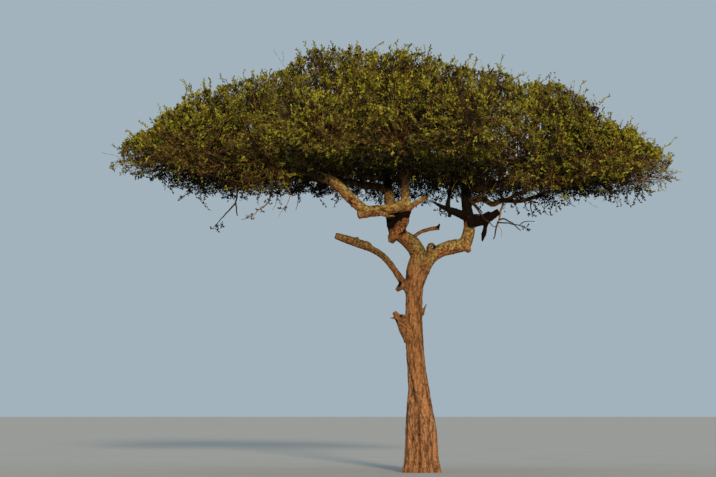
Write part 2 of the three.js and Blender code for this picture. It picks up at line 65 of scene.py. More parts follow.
# The numbers of the traits that chance decides. A vector takes the next two numbers as well.
MASS_PLACE, MASS_AIM, BOUGH_SIDE = 1, 4, 12
BRANCH_AIM, BRANCH_REACH, BRANCH_FOOT, BRANCH_BEND = 20, 23, 24, 25
TWIG_TRAITS, SPRAY_TRAITS, SPRAY_LEAF_TRAITS, SHOOT_LEAF_TRAITS = 30, 40, 80, 90
SPRAY_KEPT, SPRAY_LEAFY, SPRAY_LOT, SPRAY_DIM = 58, 60, 100, 130
SHOOT_AIM, SHOOT_RISE, SHOOT_SIZE, SHOOT_TINT = 70, 74, 77, 101
SPRIG_PLACE, SPRIG_CROOK = 110, 111
CREST_PLACE, CREST_DROP, CREST_AIM = 120, 123, 124

noise.seed_set(NOISE_SEED)


def scatter(item, trait):
    wave = np.sin(np.asarray(item, dtype=float) * ITEM_STEP + trait * TRAIT_STEP) * WAVE_HEIGHT
    return wave - np.floor(wave)


def scatter_vectors(item, trait):
    return np.stack([scatter(item, trait + k) - 0.5 for k in range(3)], axis=-1) * 2


def unit(v):
    return v / np.maximum(np.linalg.norm(v, axis=-1, keepdims=True), 1e-9)


print("scatter of item 1:", round(float(scatter(1, 1)), 3))

# %% [markdown]
# A limb's course is known only at a few points. A Catmull-Rom curve runs smoothly through all of
# them, which suits wood, and it needs no handles as a Bezier curve does. Its samples are spaced
# evenly, so that the rings of the limb come out about square.

# %% Smooth courses
SPAN_POINTS, LEAST_SPANS, LOOKUP_STEP = 24, 3, 0.03


def runs_along(points):
    """How far along the line each of its points lies."""
    return np.concatenate([[0], np.cumsum(np.linalg.norm(np.diff(points, axis=0), axis=1))])


def course(points, spacing):
    """Evenly spaced points on a smooth line through the given ones, and each one's share of the way."""
    p = np.asarray(points, dtype=float)
    p = np.vstack([2 * p[0] - p[1], p, 2 * p[-1] - p[-2]])
    fine = []
    for a, b, c, d in zip(p, p[1:], p[2:], p[3:]):
        t = np.linspace(0, 1, SPAN_POINTS, endpoint=False)[:, None]
        fine.append(0.5 * (2 * b + (c - a) * t + (2 * a - 5 * b + 4 * c - d) * t**2
                           + (3 * b - a - 3 * c + d) * t**3))
    fine = np.vstack([*fine, p[-2:-1]])
    run = runs_along(fine)
    count = max(LEAST_SPANS, round(run[-1] / spacing)) + 1
    even = np.linspace(0, run[-1], count)
    samples = np.stack([np.interp(even, run, fine[:, k]) for k in range(3)], axis=1)
    return samples, even / run[-1]


def point_on(points, share):
    samples, shares = course(points, LOOKUP_STEP)
    return np.array([np.interp(share, shares, samples[:, k]) for k in range(3)])


def headings(samples):
    return unit(np.gradient(samples, axis=0))


# %% [markdown]
# A limb is a disc that is pulled along its course: extruded, turned to face the new way and scaled
# to the new radius, over and over. It is what one does by hand with the E, R and S keys. A curve
# with a bevel would be quicker, but it can't swell and shrink from ring to ring like grown wood.
# The rotate operator turns the other way when Blender has no window, so its angles are negative.

# %% Grow a limb from a disc
LEAST_TURN = 1e-4


def start_editing():
    bpy.ops.object.mode_set(mode="EDIT")
    bpy.ops.mesh.select_all(action="SELECT")


def stop_editing():
    """Turn every face outwards and go back to object mode."""
    bpy.ops.mesh.select_all(action="SELECT")
    bpy.ops.mesh.normals_make_consistent(inside=False)
    bpy.ops.object.mode_set(mode="OBJECT")


def grow(name, samples, radii, sides):
    ways = [Vector(way) for way in headings(samples)]
    stand = Vector((0, 0, 1)).rotation_difference(ways[0]).to_euler()
    bpy.ops.mesh.primitive_circle_add(
        vertices=sides, radius=radii[0], fill_type="NGON", location=samples[0], rotation=stand
    )
    limb = bpy.context.object
    limb.name = name
    start_editing()
    for k in range(1, len(samples)):
        centre = tuple(samples[k])
        bpy.ops.mesh.extrude_region_move(TRANSFORM_OT_translate={"value": samples[k] - samples[k - 1]})
        for axis, angle in zip("XYZ", ways[k - 1].rotation_difference(ways[k]).to_euler("XYZ")):
            if abs(angle) > LEAST_TURN:
                bpy.ops.transform.rotate(value=-angle, orient_axis=axis, center_override=centre)
        size = radii[k] / radii[k - 1]
        bpy.ops.transform.resize(value=(size, size, size), center_override=centre)
    stop_editing()
    bpy.ops.object.transform_apply(location=True, rotation=True, scale=True)
    limb.select_set(False)
    return limb


def join(name, pieces):
    bpy.ops.object.select_all(action="DESELECT")
    for piece in pieces:
        piece.select_set(True)
    bpy.context.view_layer.objects.active = pieces[0]
    bpy.ops.object.join()
    whole = bpy.context.object
    whole.name = name
    whole.data.name = name
    whole.select_set(False)
    return whole


def shade_smooth(pieces):
    for piece in pieces:
        piece.select_set(True)
    bpy.ops.object.shade_smooth()
    bpy.ops.object.select_all(action="DESELECT")


# %% [markdown]
# The trunk leans a little and is widest at its flared foot. Its rings lie level, so a rotation is
# never needed: each ring is extruded upwards, slid sideways and scaled. The table has a height, the
# middle across the view and a radius for each ring, all in metres.

# %% The trunk
TRUNK_RINGS = [
    (0.00, 0.000, 0.415), (0.22, 0.000, 0.366), (0.56, -0.004, 0.338), (0.92, -0.018, 0.323),
    (1.28, -0.034, 0.281), (1.70, -0.050, 0.219), (2.10, -0.092, 0.197), (2.66, -0.138, 0.184),
    (3.30, -0.150, 0.173), (3.64, -0.148, 0.174), (3.86, -0.142, 0.187), (4.08, -0.102, 0.230),
    (4.30, -0.050, 0.244), (4.48, -0.026, 0.212), (4.57, 0.000, 0.120),
]
RING_STEP, TRUNK_SIDES = 0.07, 48


def trunk_at(height):
    """The trunk's middle across the view and its radius at a height."""
    heights, middles, radii = zip(*TRUNK_RINGS)
    return np.interp(height, heights, middles), np.interp(height, heights, radii)


trunk_heights = np.arange(0, TRUNK_RINGS[-1][0], RING_STEP)
trunk_course = np.array([[trunk_at(h)[0], 0, h] for h in trunk_heights])
bpy.ops.mesh.primitive_circle_add(vertices=TRUNK_SIDES, radius=trunk_at(0)[1], fill_type="NGON")
trunk = bpy.context.object
trunk.name = "trunk_wood"
start_editing()
for k in range(1, len(trunk_heights)):
    bpy.ops.mesh.extrude_region_move(
        TRANSFORM_OT_translate={"value": trunk_course[k] - trunk_course[k - 1]}
    )
    size = trunk_at(trunk_heights[k])[1] / trunk_at(trunk_heights[k - 1])[1]
    bpy.ops.transform.resize(value=(size, size, 1), center_override=tuple(trunk_course[k]))
stop_editing()
trunk.select_set(False)
print("trunk rings", len(trunk_heights), "vertices", len(trunk.data.vertices))

# %% [markdown]
# The foot of the trunk isn't round. It is gathered into lobes with long grooves between them, where
# the roots begin to part. A groove is a dent that follows an angle up the trunk: the angle, in
# degrees from the right-hand side and round by the back, and the depth change with height.

# %% Grooves in the trunk
GROOVES = [  # each a list of (height, angle, depth), and its half width in degrees
    ([(1.2, 254, 0.0), (1.45, 248, 0.05), (1.64, 237, 0.08), (1.87, 228, 0.08), (2.04, 214, 0.065),
      (2.2, 199, 0.05), (2.4, 188, 0.0)], 9),
    ([(0.05, 263, 0.035), (0.36, 263, 0.05), (0.75, 263, 0.06), (1.35, 264, 0.05), (1.62, 257, 0.035),
      (1.8, 256, 0.0)], 8),
    ([(2.15, 255, 0.0), (2.35, 253, 0.02), (2.93, 245, 0.02), (3.15, 243, 0.0)], 9),
    ([(0.25, 229, 0.01), (0.5, 230, 0.035), (0.68, 231, 0.07), (0.9, 232, 0.03), (1.2, 233, 0.0)], 6),
    ([(1.2, 338, 0.0), (1.47, 334, 0.03), (1.64, 325, 0.035), (2.1, 325, 0.03), (2.6, 320, 0.0)], 9),
    ([(0.05, 297, 0.03), (0.5, 295, 0.035), (1.0, 291, 0.02), (1.5, 288, 0.0)], 8),
    ([(0.05, 322, 0.035), (0.6, 319, 0.035), (1.2, 315, 0.0)], 9),
    ([(0.05, 200, 0.035), (0.8, 200, 0.04), (1.5, 194, 0.0)], 10),
    ([(0.05, 22, 0.04), (0.9, 28, 0.05), (1.9, 40, 0.02), (2.6, 44, 0.0)], 14),
    ([(0.05, 84, 0.04), (1.0, 80, 0.05), (2.2, 70, 0.025), (3.0, 66, 0.0)], 13),
    ([(0.05, 142, 0.035), (0.8, 150, 0.04), (1.7, 158, 0.02), (2.4, 160, 0.0)], 12),
]
LOBES, LOBE_SIZE, LOBE_TURN, LOBE_TOP = 5, 0.05, 0.9, 2.4
SWELL_SIZE, SWELL_ACROSS, SWELL_UP = 0.035, 3, 1.6


def groove_depth(heights, angles):
    depth = np.zeros(len(heights))
    for marks, half_width in GROOVES:
        marked, turns, depths = zip(*marks)
        deep = np.interp(heights, marked, depths, right=0)
        off = (angles - np.interp(heights, marked, turns) + 180) % 360 - 180
        depth += deep * np.exp(-((off / half_width) ** 2))
    return depth


def trunk_angles(points):
    """Each point's angle round the trunk, in degrees."""
    x = points[:, 0] - trunk_at(points[:, 2])[0]
    return np.degrees(np.arctan2(points[:, 1], x)) % 360


def vertices_of(piece):
    flat = np.empty(len(piece.data.vertices) * 3)
    piece.data.vertices.foreach_get("co", flat)
    return flat.reshape(-1, 3)


points = vertices_of(trunk)
middles, radii = trunk_at(points[:, 2])
angles = trunk_angles(points)
fade = np.maximum(0, 1 - points[:, 2] / LOBE_TOP)
lobes = 1 + LOBE_SIZE * fade * np.cos(np.radians(LOBES * angles) + LOBE_TURN)
swell = np.array([
    1 + SWELL_SIZE * noise.noise(Vector((x * SWELL_ACROSS, y * SWELL_ACROSS, z * SWELL_UP)))
    for x, y, z in points
])
size = lobes * swell - groove_depth(points[:, 2], angles) / radii
points[:, 0] = middles + (points[:, 0] - middles) * size
points[:, 1] *= size
trunk.data.vertices.foreach_set("co", points.ravel())
trunk.data.update()
print("grooves", len(GROOVES))

# %% [markdown]
# The limbs leave the trunk at the fork and part again and again. Some are dead stubs with broken
# ends. For each one the table has its course and its radii, spaced evenly from its start to its
# tip. Small knobs and splinters are short limbs too, and so is the swelling that fills the crotch
# between two risers. Every limb swells a little where it starts. Those with a broken end stop there
# bluntly, and the others run on a little to a thinner tip.

# %% The limbs
LIMBS = {
    "leader": ([(-0.01, 0, 4.20), (-0.04, 0, 4.52), (-0.19, 0, 4.79), (-0.46, 0.01, 4.99)], (0.186, 0.150)),
    "right_limb": (
        [(0.02, -0.01, 4.23), (0.18, -0.02, 4.48), (0.40, -0.03, 4.64), (0.66, -0.03, 4.72),
         (0.905, -0.03, 4.765)], (0.150, 0.134, 0.150, 0.138)),
    "front_riser": (
        [(-0.43, -0.02, 4.96), (-0.45, -0.05, 5.13), (-0.38, -0.11, 5.33), (-0.29, -0.19, 5.56)],
        (0.140, 0.118)),
    "back_riser": (
        [(-0.50, 0.03, 4.98), (-0.59, 0.13, 5.22), (-0.64, 0.25, 5.60), (-0.70, 0.40, 6.10),
         (-0.80, 0.60, 6.64)], (0.138, 0.074)),
    "crossing_limb": (
        [(-0.24, -0.20, 5.58), (-0.48, -0.26, 5.56), (-0.80, -0.31, 5.475), (-1.27, -0.36, 5.435)],
        (0.124, 0.118)),
    "left_limb": (
        [(-1.18, -0.36, 5.455), (-1.49, -0.38, 5.73), (-1.74, -0.43, 5.985), (-2.12, -0.50, 6.19),
         (-2.62, -0.56, 6.32)], (0.110, 0.112, 0.106, 0.090, 0.068)),
    "front_upright": (
        [(-0.33, -0.23, 5.60), (-0.335, -0.30, 5.92), (-0.32, -0.42, 6.30), (-0.29, -0.52, 6.64)],
        (0.090, 0.066)),
    "right_upright": (
        [(0.925, -0.03, 4.79), (1.00, -0.01, 5.01), (1.01, 0.03, 5.28), (0.96, 0.09, 5.64),
         (0.945, 0.17, 6.02), (0.96, 0.22, 6.42)], (0.128, 0.078)),
    "right_spur": (
        [(1.03, 0.01, 5.23), (1.26, 0, 5.26), (1.44, -0.02, 5.34), (1.64, -0.03, 5.47)],
        (0.104, 0.094, 0.086, 0.070)),
    "inner_spur": (
        [(0.93, 0.06, 5.38), (0.715, 0.03, 5.46), (0.48, -0.03, 5.55), (0.26, -0.08, 5.66)],
        (0.088, 0.078, 0.050, 0.022)),
    "right_long_bough": (
        [(0.99, 0.09, 5.66), (1.28, 0.06, 5.74), (1.51, 0.02, 5.62), (1.70, 0, 5.70),
         (2.10, -0.04, 5.69), (2.60, -0.08, 5.83)], (0.066, 0.034)),
    "dead_limb": (
        [(-0.27, -0.04, 3.80), (-0.48, -0.09, 4.12), (-0.78, -0.16, 4.50), (-1.18, -0.25, 4.73),
         (-1.795, -0.35, 4.94)], (0.076, 0.070, 0.064, 0.068, 0.066, 0.090, 0.092, 0.066)),
    "low_stub": (
        [(-0.20, -0.02, 2.80), (-0.35, -0.045, 3.03), (-0.45, -0.06, 3.18), (-0.565, -0.08, 3.355)],
        (0.160, 0.140, 0.086, 0.050)),
    "crossing_stub": ([(-0.24, -0.20, 5.54), (-0.06, -0.24, 5.66), (0.13, -0.26, 5.775)], (0.060, 0.048)),
    "leader_stub": (
        [(-0.23, 0.06, 4.88), (-0.02, 0.12, 5.035), (0.18, 0.16, 5.105), (0.385, 0.18, 5.14)],
        (0.036, 0.038, 0.050)),
    "curled_stub": (
        [(0.20, -0.08, 4.50), (0.164, -0.10, 4.66), (0.176, -0.105, 4.74), (0.222, -0.105, 4.772),
         (0.276, -0.10, 4.740), (0.296, -0.09, 4.69)], (0.062, 0.054, 0.054, 0.052, 0.036, 0.022)),
}
KNOBS = [
    ([(-0.55, -0.05, 5.00), (-0.595, -0.07, 4.91), (-0.63, -0.09, 4.81)], (0.120, 0.108, 0.060)),
    ([(0.84, -0.04, 4.78), (0.95, -0.05, 4.71), (1.02, -0.06, 4.61)], (0.130, 0.105, 0.040)),
    ([(-1.12, -0.37, 5.41), (-1.22, -0.385, 5.385), (-1.325, -0.40, 5.355)], (0.100, 0.088, 0.080)),
    ([(1.38, -0.01, 5.29), (1.34, -0.03, 5.09), (1.28, -0.05, 4.83)], (0.080, 0.042, 0.056, 0.016)),
    ([(0.60, 0.00, 5.44), (0.57, -0.05, 5.58), (0.59, -0.07, 5.78), (0.65, -0.10, 6.10)], (0.046, 0.036)),
    ([(1.12, -0.02, 5.36), (1.30, -0.02, 5.37), (1.45, -0.03, 5.45)], (0.060, 0.040)),
    ([(-0.34, -0.06, 3.97), (-0.43, -0.08, 3.88), (-0.515, -0.09, 3.80)], (0.100, 0.078, 0.040)),
    ([(0.01, -0.02, 3.30), (0.06, -0.03, 3.41), (0.117, -0.035, 3.53)], (0.052, 0.030, 0.008)),
    ([(-0.50, -0.08, 4.92), (-0.60, -0.12, 5.01), (-0.61, -0.11, 5.09)], (0.090, 0.078, 0.048)),
    ([(-0.47, -0.08, 3.215), (-0.57, -0.09, 3.228), (-0.655, -0.10, 3.225)], (0.034, 0.012)),
    ([(-0.28, -0.04, 3.20), (-0.40, -0.06, 3.24), (-0.49, -0.07, 3.25)], (0.085, 0.056)),
    ([(0.36, 0.18, 5.14), (0.385, 0.18, 5.18), (0.40, 0.18, 5.23)], (0.034, 0.018)),
    ([(-0.46, 0.02, 5.00), (-0.50, 0.04, 5.28), (-0.46, 0.00, 5.55)], (0.100, 0.090, 0.070)),
    ([(-0.40, -0.08, 5.40), (-0.375, -0.07, 5.28), (-0.42, -0.04, 5.13)], (0.110, 0.132, 0.100)),
    ([(-0.80, -0.36, 5.39), (-0.70, -0.42, 5.345), (-0.555, -0.46, 5.345)], (0.050, 0.030, 0.022)),
    ([(0.62, 0.00, 5.48), (0.605, -0.02, 5.40), (0.60, -0.03, 5.35)], (0.036, 0.042)),
    ([(-1.20, -0.25, 4.80), (-1.10, -0.24, 4.78), (-1.02, -0.23, 4.72)], (0.045, 0.040, 0.014)),
    ([(-1.40, -0.28, 4.86), (-1.35, -0.27, 4.895), (-1.30, -0.26, 4.90)], (0.035, 0.014)),
]
BROKEN = ["dead_limb", "low_stub", "crossing_stub", "leader_stub", "curled_stub", "right_spur"]
LIMB_STEP, LIMB_SIDES, KNOB_STEP, KNOB_SIDES = 0.055, 20, 0.035, 12
START_SWELL, SWELL_FADE = 0.10, 9
BULGE, BULGE_FINENESS, BULGE_SHIFT = 0.10, 4.5, 7.3
TIP_RUN, TIP_SHARE = 0.5, 0.6


def radii_along(radii, shares):
    return np.interp(shares, np.linspace(0, 1, len(radii)), radii)


def limb_radii(samples, shares, radii, item):
    """The stated radii, with a swollen start and slow bulges."""
    start = 1 + START_SWELL * np.exp(-shares * SWELL_FADE)
    shift = Vector((item * BULGE_SHIFT, 0, 0))
    bulge = [1 + BULGE * noise.noise(Vector(p) * BULGE_FINENESS + shift) for p in samples]
    return radii_along(radii, shares) * start * np.array(bulge)


grown = [trunk]
marks = [(trunk_course, [trunk_at(h)[1] for h in trunk_heights], 0)]
for item, (name, (points, radii)) in enumerate(LIMBS.items(), start=1):
    samples, shares = course(points, LIMB_STEP)
    radii = limb_radii(samples, shares, radii, item)
    if name not in BROKEN:
        samples = np.vstack([samples, samples[-1] + TIP_RUN * (samples[-1] - samples[-2])])
        radii = np.append(radii, radii[-1] * TIP_SHARE)
    grown.append(grow(name, samples, radii, LIMB_SIDES))
    marks.append((samples, radii, item))
for number, (points, radii) in enumerate(KNOBS):
    samples, shares = course(points, KNOB_STEP)
    grown.append(grow("knob_%d" % number, samples, radii_along(radii, shares), KNOB_SIDES))
print("limbs", len(LIMBS), "knobs", len(KNOBS))

# %% [markdown]
# Where two limbs meet on a real tree, the bark runs on from one to the other without a seam. Joined
# tubes only cut through each other. A voxel remesh wraps them all in one even skin, as if with
# clay, and a few rounds of smoothing round off the corners at the forks. The skin is made of small
# squares of about 12 mm, which is fine enough to carve the bark's furrows into afterwards.

# %% Skin the wood over
SKIN, SOFTNESS, SOFTEN_ROUNDS = 0.0122, 0.6, 5

wood = join("trunk_and_limbs", grown)
bpy.context.view_layer.objects.active = wood
remesh = wood.modifiers.new("skin", "REMESH")
remesh.mode = "VOXEL"
remesh.voxel_size = SKIN
bpy.ops.object.modifier_apply(modifier="skin")
smooth = wood.modifiers.new("soften", "SMOOTH")
smooth.factor = SOFTNESS
smooth.iterations = SOFTEN_ROUNDS
bpy.ops.object.modifier_apply(modifier="soften")
print("skinned wood", len(wood.data.polygons), "squares")

# %% [markdown]
# Bark is relief, not only colour. On the trunk it has long upright furrows, and on the limbs small
# scales and warts. To carve it along the grain, each vertex looks up the nearest point of a course
# and measures how far along and how far round the limb it lies. Noise that is read in those two
# directions runs with the grain however the limb bends. The depth is also stored on the mesh, so
# that the colour can darken in the furrows, partly as painted shade and partly as the bark's own
# darker furrows.

# %% Carve the bark
FIRST_SIDE = Vector((0.3, 1, 0.1))
CANDIDATES, THICK_PULL = 4, 0.8  # a vertex takes the nearest of these, and a thick limb pulls more
GRAIN_SHIFT = 3.7
FINE_GRAIN = (48, 20, 0)  # for each noise, its fineness round and along the limb and its shift
FURROWS, LONG_FURROWS, WARTS, CRACKS = (19, 5.0, 0), (9, 1.3, 7), (30, 24, 4), (15, 7, 0)
FURROW_EDGE, LONG_FURROW_EDGE, CRACK_EDGE = 2.6, 2.2, 2.6
FURROW_SHARE, TRUNK_FINE_SHARE, LONG_FURROW_SHARE = 0.50, 0.55, 0.45
WART_SHARE, LIMB_FINE_SHARE, CRACK_SHARE = 0.9, 0.5, 0.25
FURROW_DEPTH, SCALE_DEPTH, BOUGH_SCALE_DEPTH = 0.009, 0.006, 0.003
FOOT_BAND, FOOT_SINK = 0.02, 0.01  # the points just above the cut, which sink to it and stay level


def along_and_round(vertices, marks):
    """For each vertex the way along the limb it lies on, its angle round it, the limb and its radius there.
    """
    places, ways, sides, runs, owners, sizes = [], [], [], [], [], []
    for samples, radii, item in marks:
        run = runs_along(samples)
        side = FIRST_SIDE
        for k, w in enumerate(headings(samples)):
            side = (side - Vector(w) * side.dot(Vector(w))).normalized()
            sides.append(np.array(side))
            places.append(samples[k])
            ways.append(w)
            runs.append(run[k])
            owners.append(item)
            sizes.append(radii[k])
    tree = kdtree.KDTree(len(places))
    for k, place in enumerate(places):
        tree.insert(place, k)
    tree.balance()
    nearest = np.empty(len(vertices), dtype=int)
    for k, vertex in enumerate(vertices):
        found = tree.find_n(vertex, CANDIDATES)
        nearest[k] = min(found, key=lambda f: f[2] - THICK_PULL * sizes[f[1]])[1]
    places, ways, sides = np.array(places)[nearest], np.array(ways)[nearest], np.array(sides)[nearest]
    off = vertices - places
    along = np.array(runs)[nearest] + np.sum(off * ways, axis=1)
    across = np.cross(ways, sides)
    angle = np.arctan2(np.sum(off * across, axis=1), np.sum(off * sides, axis=1))
    return along, angle, np.array(owners)[nearest], np.array(sizes)[nearest]


def normals_of(piece):
    flat = np.empty(len(piece.data.vertices) * 3)
    piece.data.vertices.foreach_get("normal", flat)
    return flat.reshape(-1, 3)


def store(piece, name, values):
    attribute = piece.data.attributes.new(name, "FLOAT", "POINT")
    attribute.data.foreach_set("value", np.clip(values, 0, 1).astype(np.float32))


def read_noise(place, round_it, along_it, shift):
    """Noise at a place that is given as across, deep and along its limb."""
    across, deep, along = place
    return noise.noise(Vector((across * round_it, deep * round_it, along * along_it + shift)))


def sharpened(value, edge):
    """The value with narrow deep lines where it passes through zero."""
    return 1 - 2 * min(1, abs(value) * edge)


def grain_at(place, is_trunk):
    """How far in the bark lies: furrows and fine grain on the trunk, warts and cracks on a limb."""
    fine = read_noise(place, *FINE_GRAIN)
    if is_trunk:
        furrow = sharpened(read_noise(place, *FURROWS), FURROW_EDGE)
        long_furrow = sharpened(read_noise(place, *LONG_FURROWS), LONG_FURROW_EDGE)
        return FURROW_SHARE * furrow + TRUNK_FINE_SHARE * fine + LONG_FURROW_SHARE * long_furrow
    warts = read_noise(place, *WARTS)
    cracks = sharpened(read_noise(place, *CRACKS), CRACK_EDGE)
    return WART_SHARE * warts + LIMB_FINE_SHARE * fine + CRACK_SHARE * cracks


def carve(piece, marks, furrow_depth, scale_depth):
    """Move the skin in and out along the grain, and keep how deep each point of it lies.

    What comes back are the points before that, their normals and the limb that each belongs to."""
    vertices, normals = vertices_of(piece), normals_of(piece)
    along, angle, owner, size = along_and_round(vertices, marks)
    places = np.stack([np.cos(angle) * size, np.sin(angle) * size, along + owner * GRAIN_SHIFT], axis=1)
    grain = np.array([grain_at(place, item == 0) for place, item in zip(places, owner)])
    deep = np.where(owner == 0, furrow_depth, scale_depth)
    moved = vertices - normals * (grain * deep)[:, None]
    sunk = np.maximum(0, vertices[:, 2] - FOOT_SINK)
    moved[:, 2] = np.where(vertices[:, 2] < FOOT_BAND, sunk, moved[:, 2])
    piece.data.vertices.foreach_set("co", moved.ravel())
    piece.data.update()
    store(piece, "furrow", 0.5 + 0.5 * grain)
    return vertices, normals, owner


wood_points, wood_normals, wood_owner = carve(wood, marks, FURROW_DEPTH, SCALE_DEPTH)
shade_smooth([wood])
print("bark carved, lowest", round(float(vertices_of(wood)[:, 2].min()), 4))

# %% [markdown]
# Two more things are painted on the wood by place. Inside the crown the bark is painted nearly
# black as shade, and the crotch under the crossing limb as a painted shadow. The deep grooves of
# the trunk are darkened, partly as painted shade and partly for their own darker bark, and some
# limbs are a little darker all over. The painted shade fades out towards the back of a limb. And
# on the upper sides of the limbs and on the side towards the sun grows pale yellow lichen, where
# the bark is golden and beneath it redder, which is partly painted light and shade. Both are stored
# on the mesh as values from 0 to 1, one for each point, which a material can read wherever the
# piece goes.

# %% Dark bark and lichen by place
# Painted shade: between these heights a limb's bark is painted nearly black.
PAINTED_SHADE_FROM = {  # the heights between which a limb's bark turns dark
    "back_riser": (5.78, 6.1), "front_upright": (6.10, 6.45), "right_upright": (5.14, 5.30),
    "right_spur": (4.0, 4.6), "inner_spur": (4.0, 5.0), "right_long_bough": (5.2, 5.9),
    "left_limb": (6.25, 6.6),
}
# A least darkness over the whole of each of these limbs.
DULL = {"dead_limb": 0.36, "leader": 0.28, "leader_stub": 0.25, "curled_stub": 0.40, "low_stub": 0.20,
        "back_riser": 0.30, "front_riser": 0.25}
# Painted shadow: bands of nearly black bark on the risers below the crossing limb.
PAINTED_SHADOW_BANDS = {"back_riser": (5.06, 5.56), "front_riser": (5.30, 5.52)}
# Painted shadow and shade: dark patches in crotches and crevices and under the crossing limb.
PAINTED_SHADOW_SPOTS = [  # place, radius and strength of dark patches
    ((-0.62, -0.05, 5.20), 0.10, 1.3), ((-0.55, -0.10, 5.33), 0.12, 1.3), ((-0.66, 0.00, 5.36), 0.12, 1.2),
    ((-0.32, -0.13, 5.08), 0.030, 1.0), ((-0.355, -0.15, 5.035), 0.034, 1.0),
    ((-0.40, -0.17, 5.00), 0.034, 1.0), ((-0.45, -0.17, 4.975), 0.028, 0.8),
    ((-0.66, -0.05, 4.90), 0.05, 0.7), ((-0.52, -0.16, 4.86), 0.04, 0.8), ((-0.30, -0.10, 5.13), 0.030, 0.9),
    ((1.06, -0.10, 5.22), 0.10, 1.2), ((1.28, -0.05, 4.90), 0.14, 1.2), ((-0.21, -0.36, 0.68), 0.06, 1.0),
    ((0.28, -0.09, 4.70), 0.05, 1.0), ((0.38, 0.17, 5.17), 0.06, 0.9), ((-0.47, -0.14, 3.94), 0.06, 1.1),
    ((-0.52, -0.10, 3.17), 0.045, 0.8), ((-0.42, -0.11, 3.26), 0.035, 0.7),
    ((-1.26, -0.25, 4.90), 0.04, 0.9), ((0.13, -0.26, 5.78), 0.07, 0.7),
    ((-1.22, -0.30, 4.86), 0.05, 0.8), ((-0.80, -0.43, 5.48), 0.05, 0.5),
    ((-1.05, -0.45, 5.40), 0.06, 0.45), ((-0.60, -0.36, 5.46), 0.06, 0.4),
]
RUSTY = {"leader_stub": 0.30, "low_stub": 0.30, "right_spur": 0.40, "front_riser": 0.35}
MOTTLE_FINENESS, MOTTLE_SHARE, BACK_FADE = 9, 0.5, 1.5
BACK_DARK, FRONT_DARK = 0.45, 0.55
BAND_WAVER, BAND_EDGE, BAND_DARK = 0.12, 0.05, 1.2
SPOT_EDGE, FULL_GROOVE, GROOVE_DARK = 1.6, 0.085, 0.72
LICHEN_SHARE, LICHEN_UP, LICHEN_RIGHT, LICHEN_WAVER = 0.5, 0.55, 0.25, 0.45


def on_limb(name):
    return wood_owner == ["trunk", *LIMBS].index(name)


dull_tone_and_painted_shade = np.zeros(len(wood_points))
for name, least in DULL.items():
    dull_tone_and_painted_shade[on_limb(name)] = least
mottle = np.array([noise.noise(Vector(p) * MOTTLE_FINENESS) for p in wood_points])
# The painted shade is strongest on a limb's front and fades towards its back.
front = 1 - np.clip(BACK_FADE * wood_normals[:, 1] + MOTTLE_SHARE * mottle, 0, 1)
for name, (low, high) in PAINTED_SHADE_FROM.items():
    mine = on_limb(name)
    shaded = np.clip((wood_points[mine, 2] - low) / (high - low), 0, 1)
    dull_tone_and_painted_shade[mine] = np.maximum(dull_tone_and_painted_shade[mine], shaded * (BACK_DARK + FRONT_DARK * front[mine]))
for name, (low, high) in PAINTED_SHADOW_BANDS.items():
    inside_band = np.minimum(wood_points[:, 2] - low, high - wood_points[:, 2]) + BAND_WAVER * mottle
    band = np.clip(inside_band / BAND_EDGE + 0.5, 0, 1)
    dull_tone_and_painted_shade = np.maximum(dull_tone_and_painted_shade, np.where(on_limb(name), BAND_DARK * band * front, 0))
for place, radius, strength in PAINTED_SHADOW_SPOTS:
    off = np.linalg.norm(wood_points - np.array(place), axis=1)
    dull_tone_and_painted_shade = np.maximum(dull_tone_and_painted_shade, strength * np.clip(SPOT_EDGE - off / radius, 0, 1))
# The deep grooves of the trunk are darkened, partly painted shade and partly their own darker bark.
grooved = np.clip(groove_depth(wood_points[:, 2], trunk_angles(wood_points)) / FULL_GROOVE, 0, 1)
dull_tone_and_painted_shade = np.maximum(dull_tone_and_painted_shade, np.where(on_limb("trunk"), GROOVE_DARK * grooved, 0))
store(wood, "dull_tone_and_painted_shade", dull_tone_and_painted_shade * (1 + MOTTLE_SHARE * mottle))
# Lichen and painted light: the upper sides and the side towards the sun get more gold and lichen, the
# undersides more red as painted shade.
sunny = LICHEN_SHARE + LICHEN_UP * wood_normals[:, 2] + LICHEN_RIGHT * wood_normals[:, 0]
sunny += LICHEN_WAVER * mottle
for name, share in RUSTY.items():
    sunny[on_limb(name)] *= share
store(wood, "lichen_and_painted_light", sunny)
print("dark share", round(float((dull_tone_and_painted_shade > 0.5).mean()), 3))

# %% [markdown]
# The skinned wood has too many faces for one piece, so it is parted below the fork into the trunk
# and the limbs. Both keep the same points along the cut, so no gap shows.

# %% Part the trunk from the limbs
CUT_HEIGHT = 3.96

for polygon in wood.data.polygons:
    polygon.select = polygon.center.z < CUT_HEIGHT
bpy.context.view_layer.objects.active = wood
wood.select_set(True)
bpy.ops.object.mode_set(mode="EDIT")
bpy.ops.mesh.select_mode(type="FACE")
bpy.ops.mesh.separate(type="SELECTED")
bpy.ops.object.mode_set(mode="OBJECT")
trunk = next(piece for piece in bpy.context.selected_objects if piece is not wood)
bpy.ops.object.select_all(action="DESELECT")
trunk.name = "trunk_bark"
wood.name = "limb_bark"
print("trunk", len(trunk.data.polygons), "limbs", len(wood.data.polygons), "squares")

# %% [markdown]
# The crown is a wide dome with a flat underside, cropped by browsing animals. Seen in plan it is
# shared out between masses of foliage in three rings. Each mass has its own crest on top and its own
# sag below, and it ends where a neighbour comes nearer. How far a straight line can run from the
# middle of a mass, before it leaves the mass, tells its twigs how long they may grow. The dome's
# upper edge isn't smooth against the sky but stepped, so a skyline of a few points trims it: from
# the camera, which is far off, nothing but single shoots stands above that line.

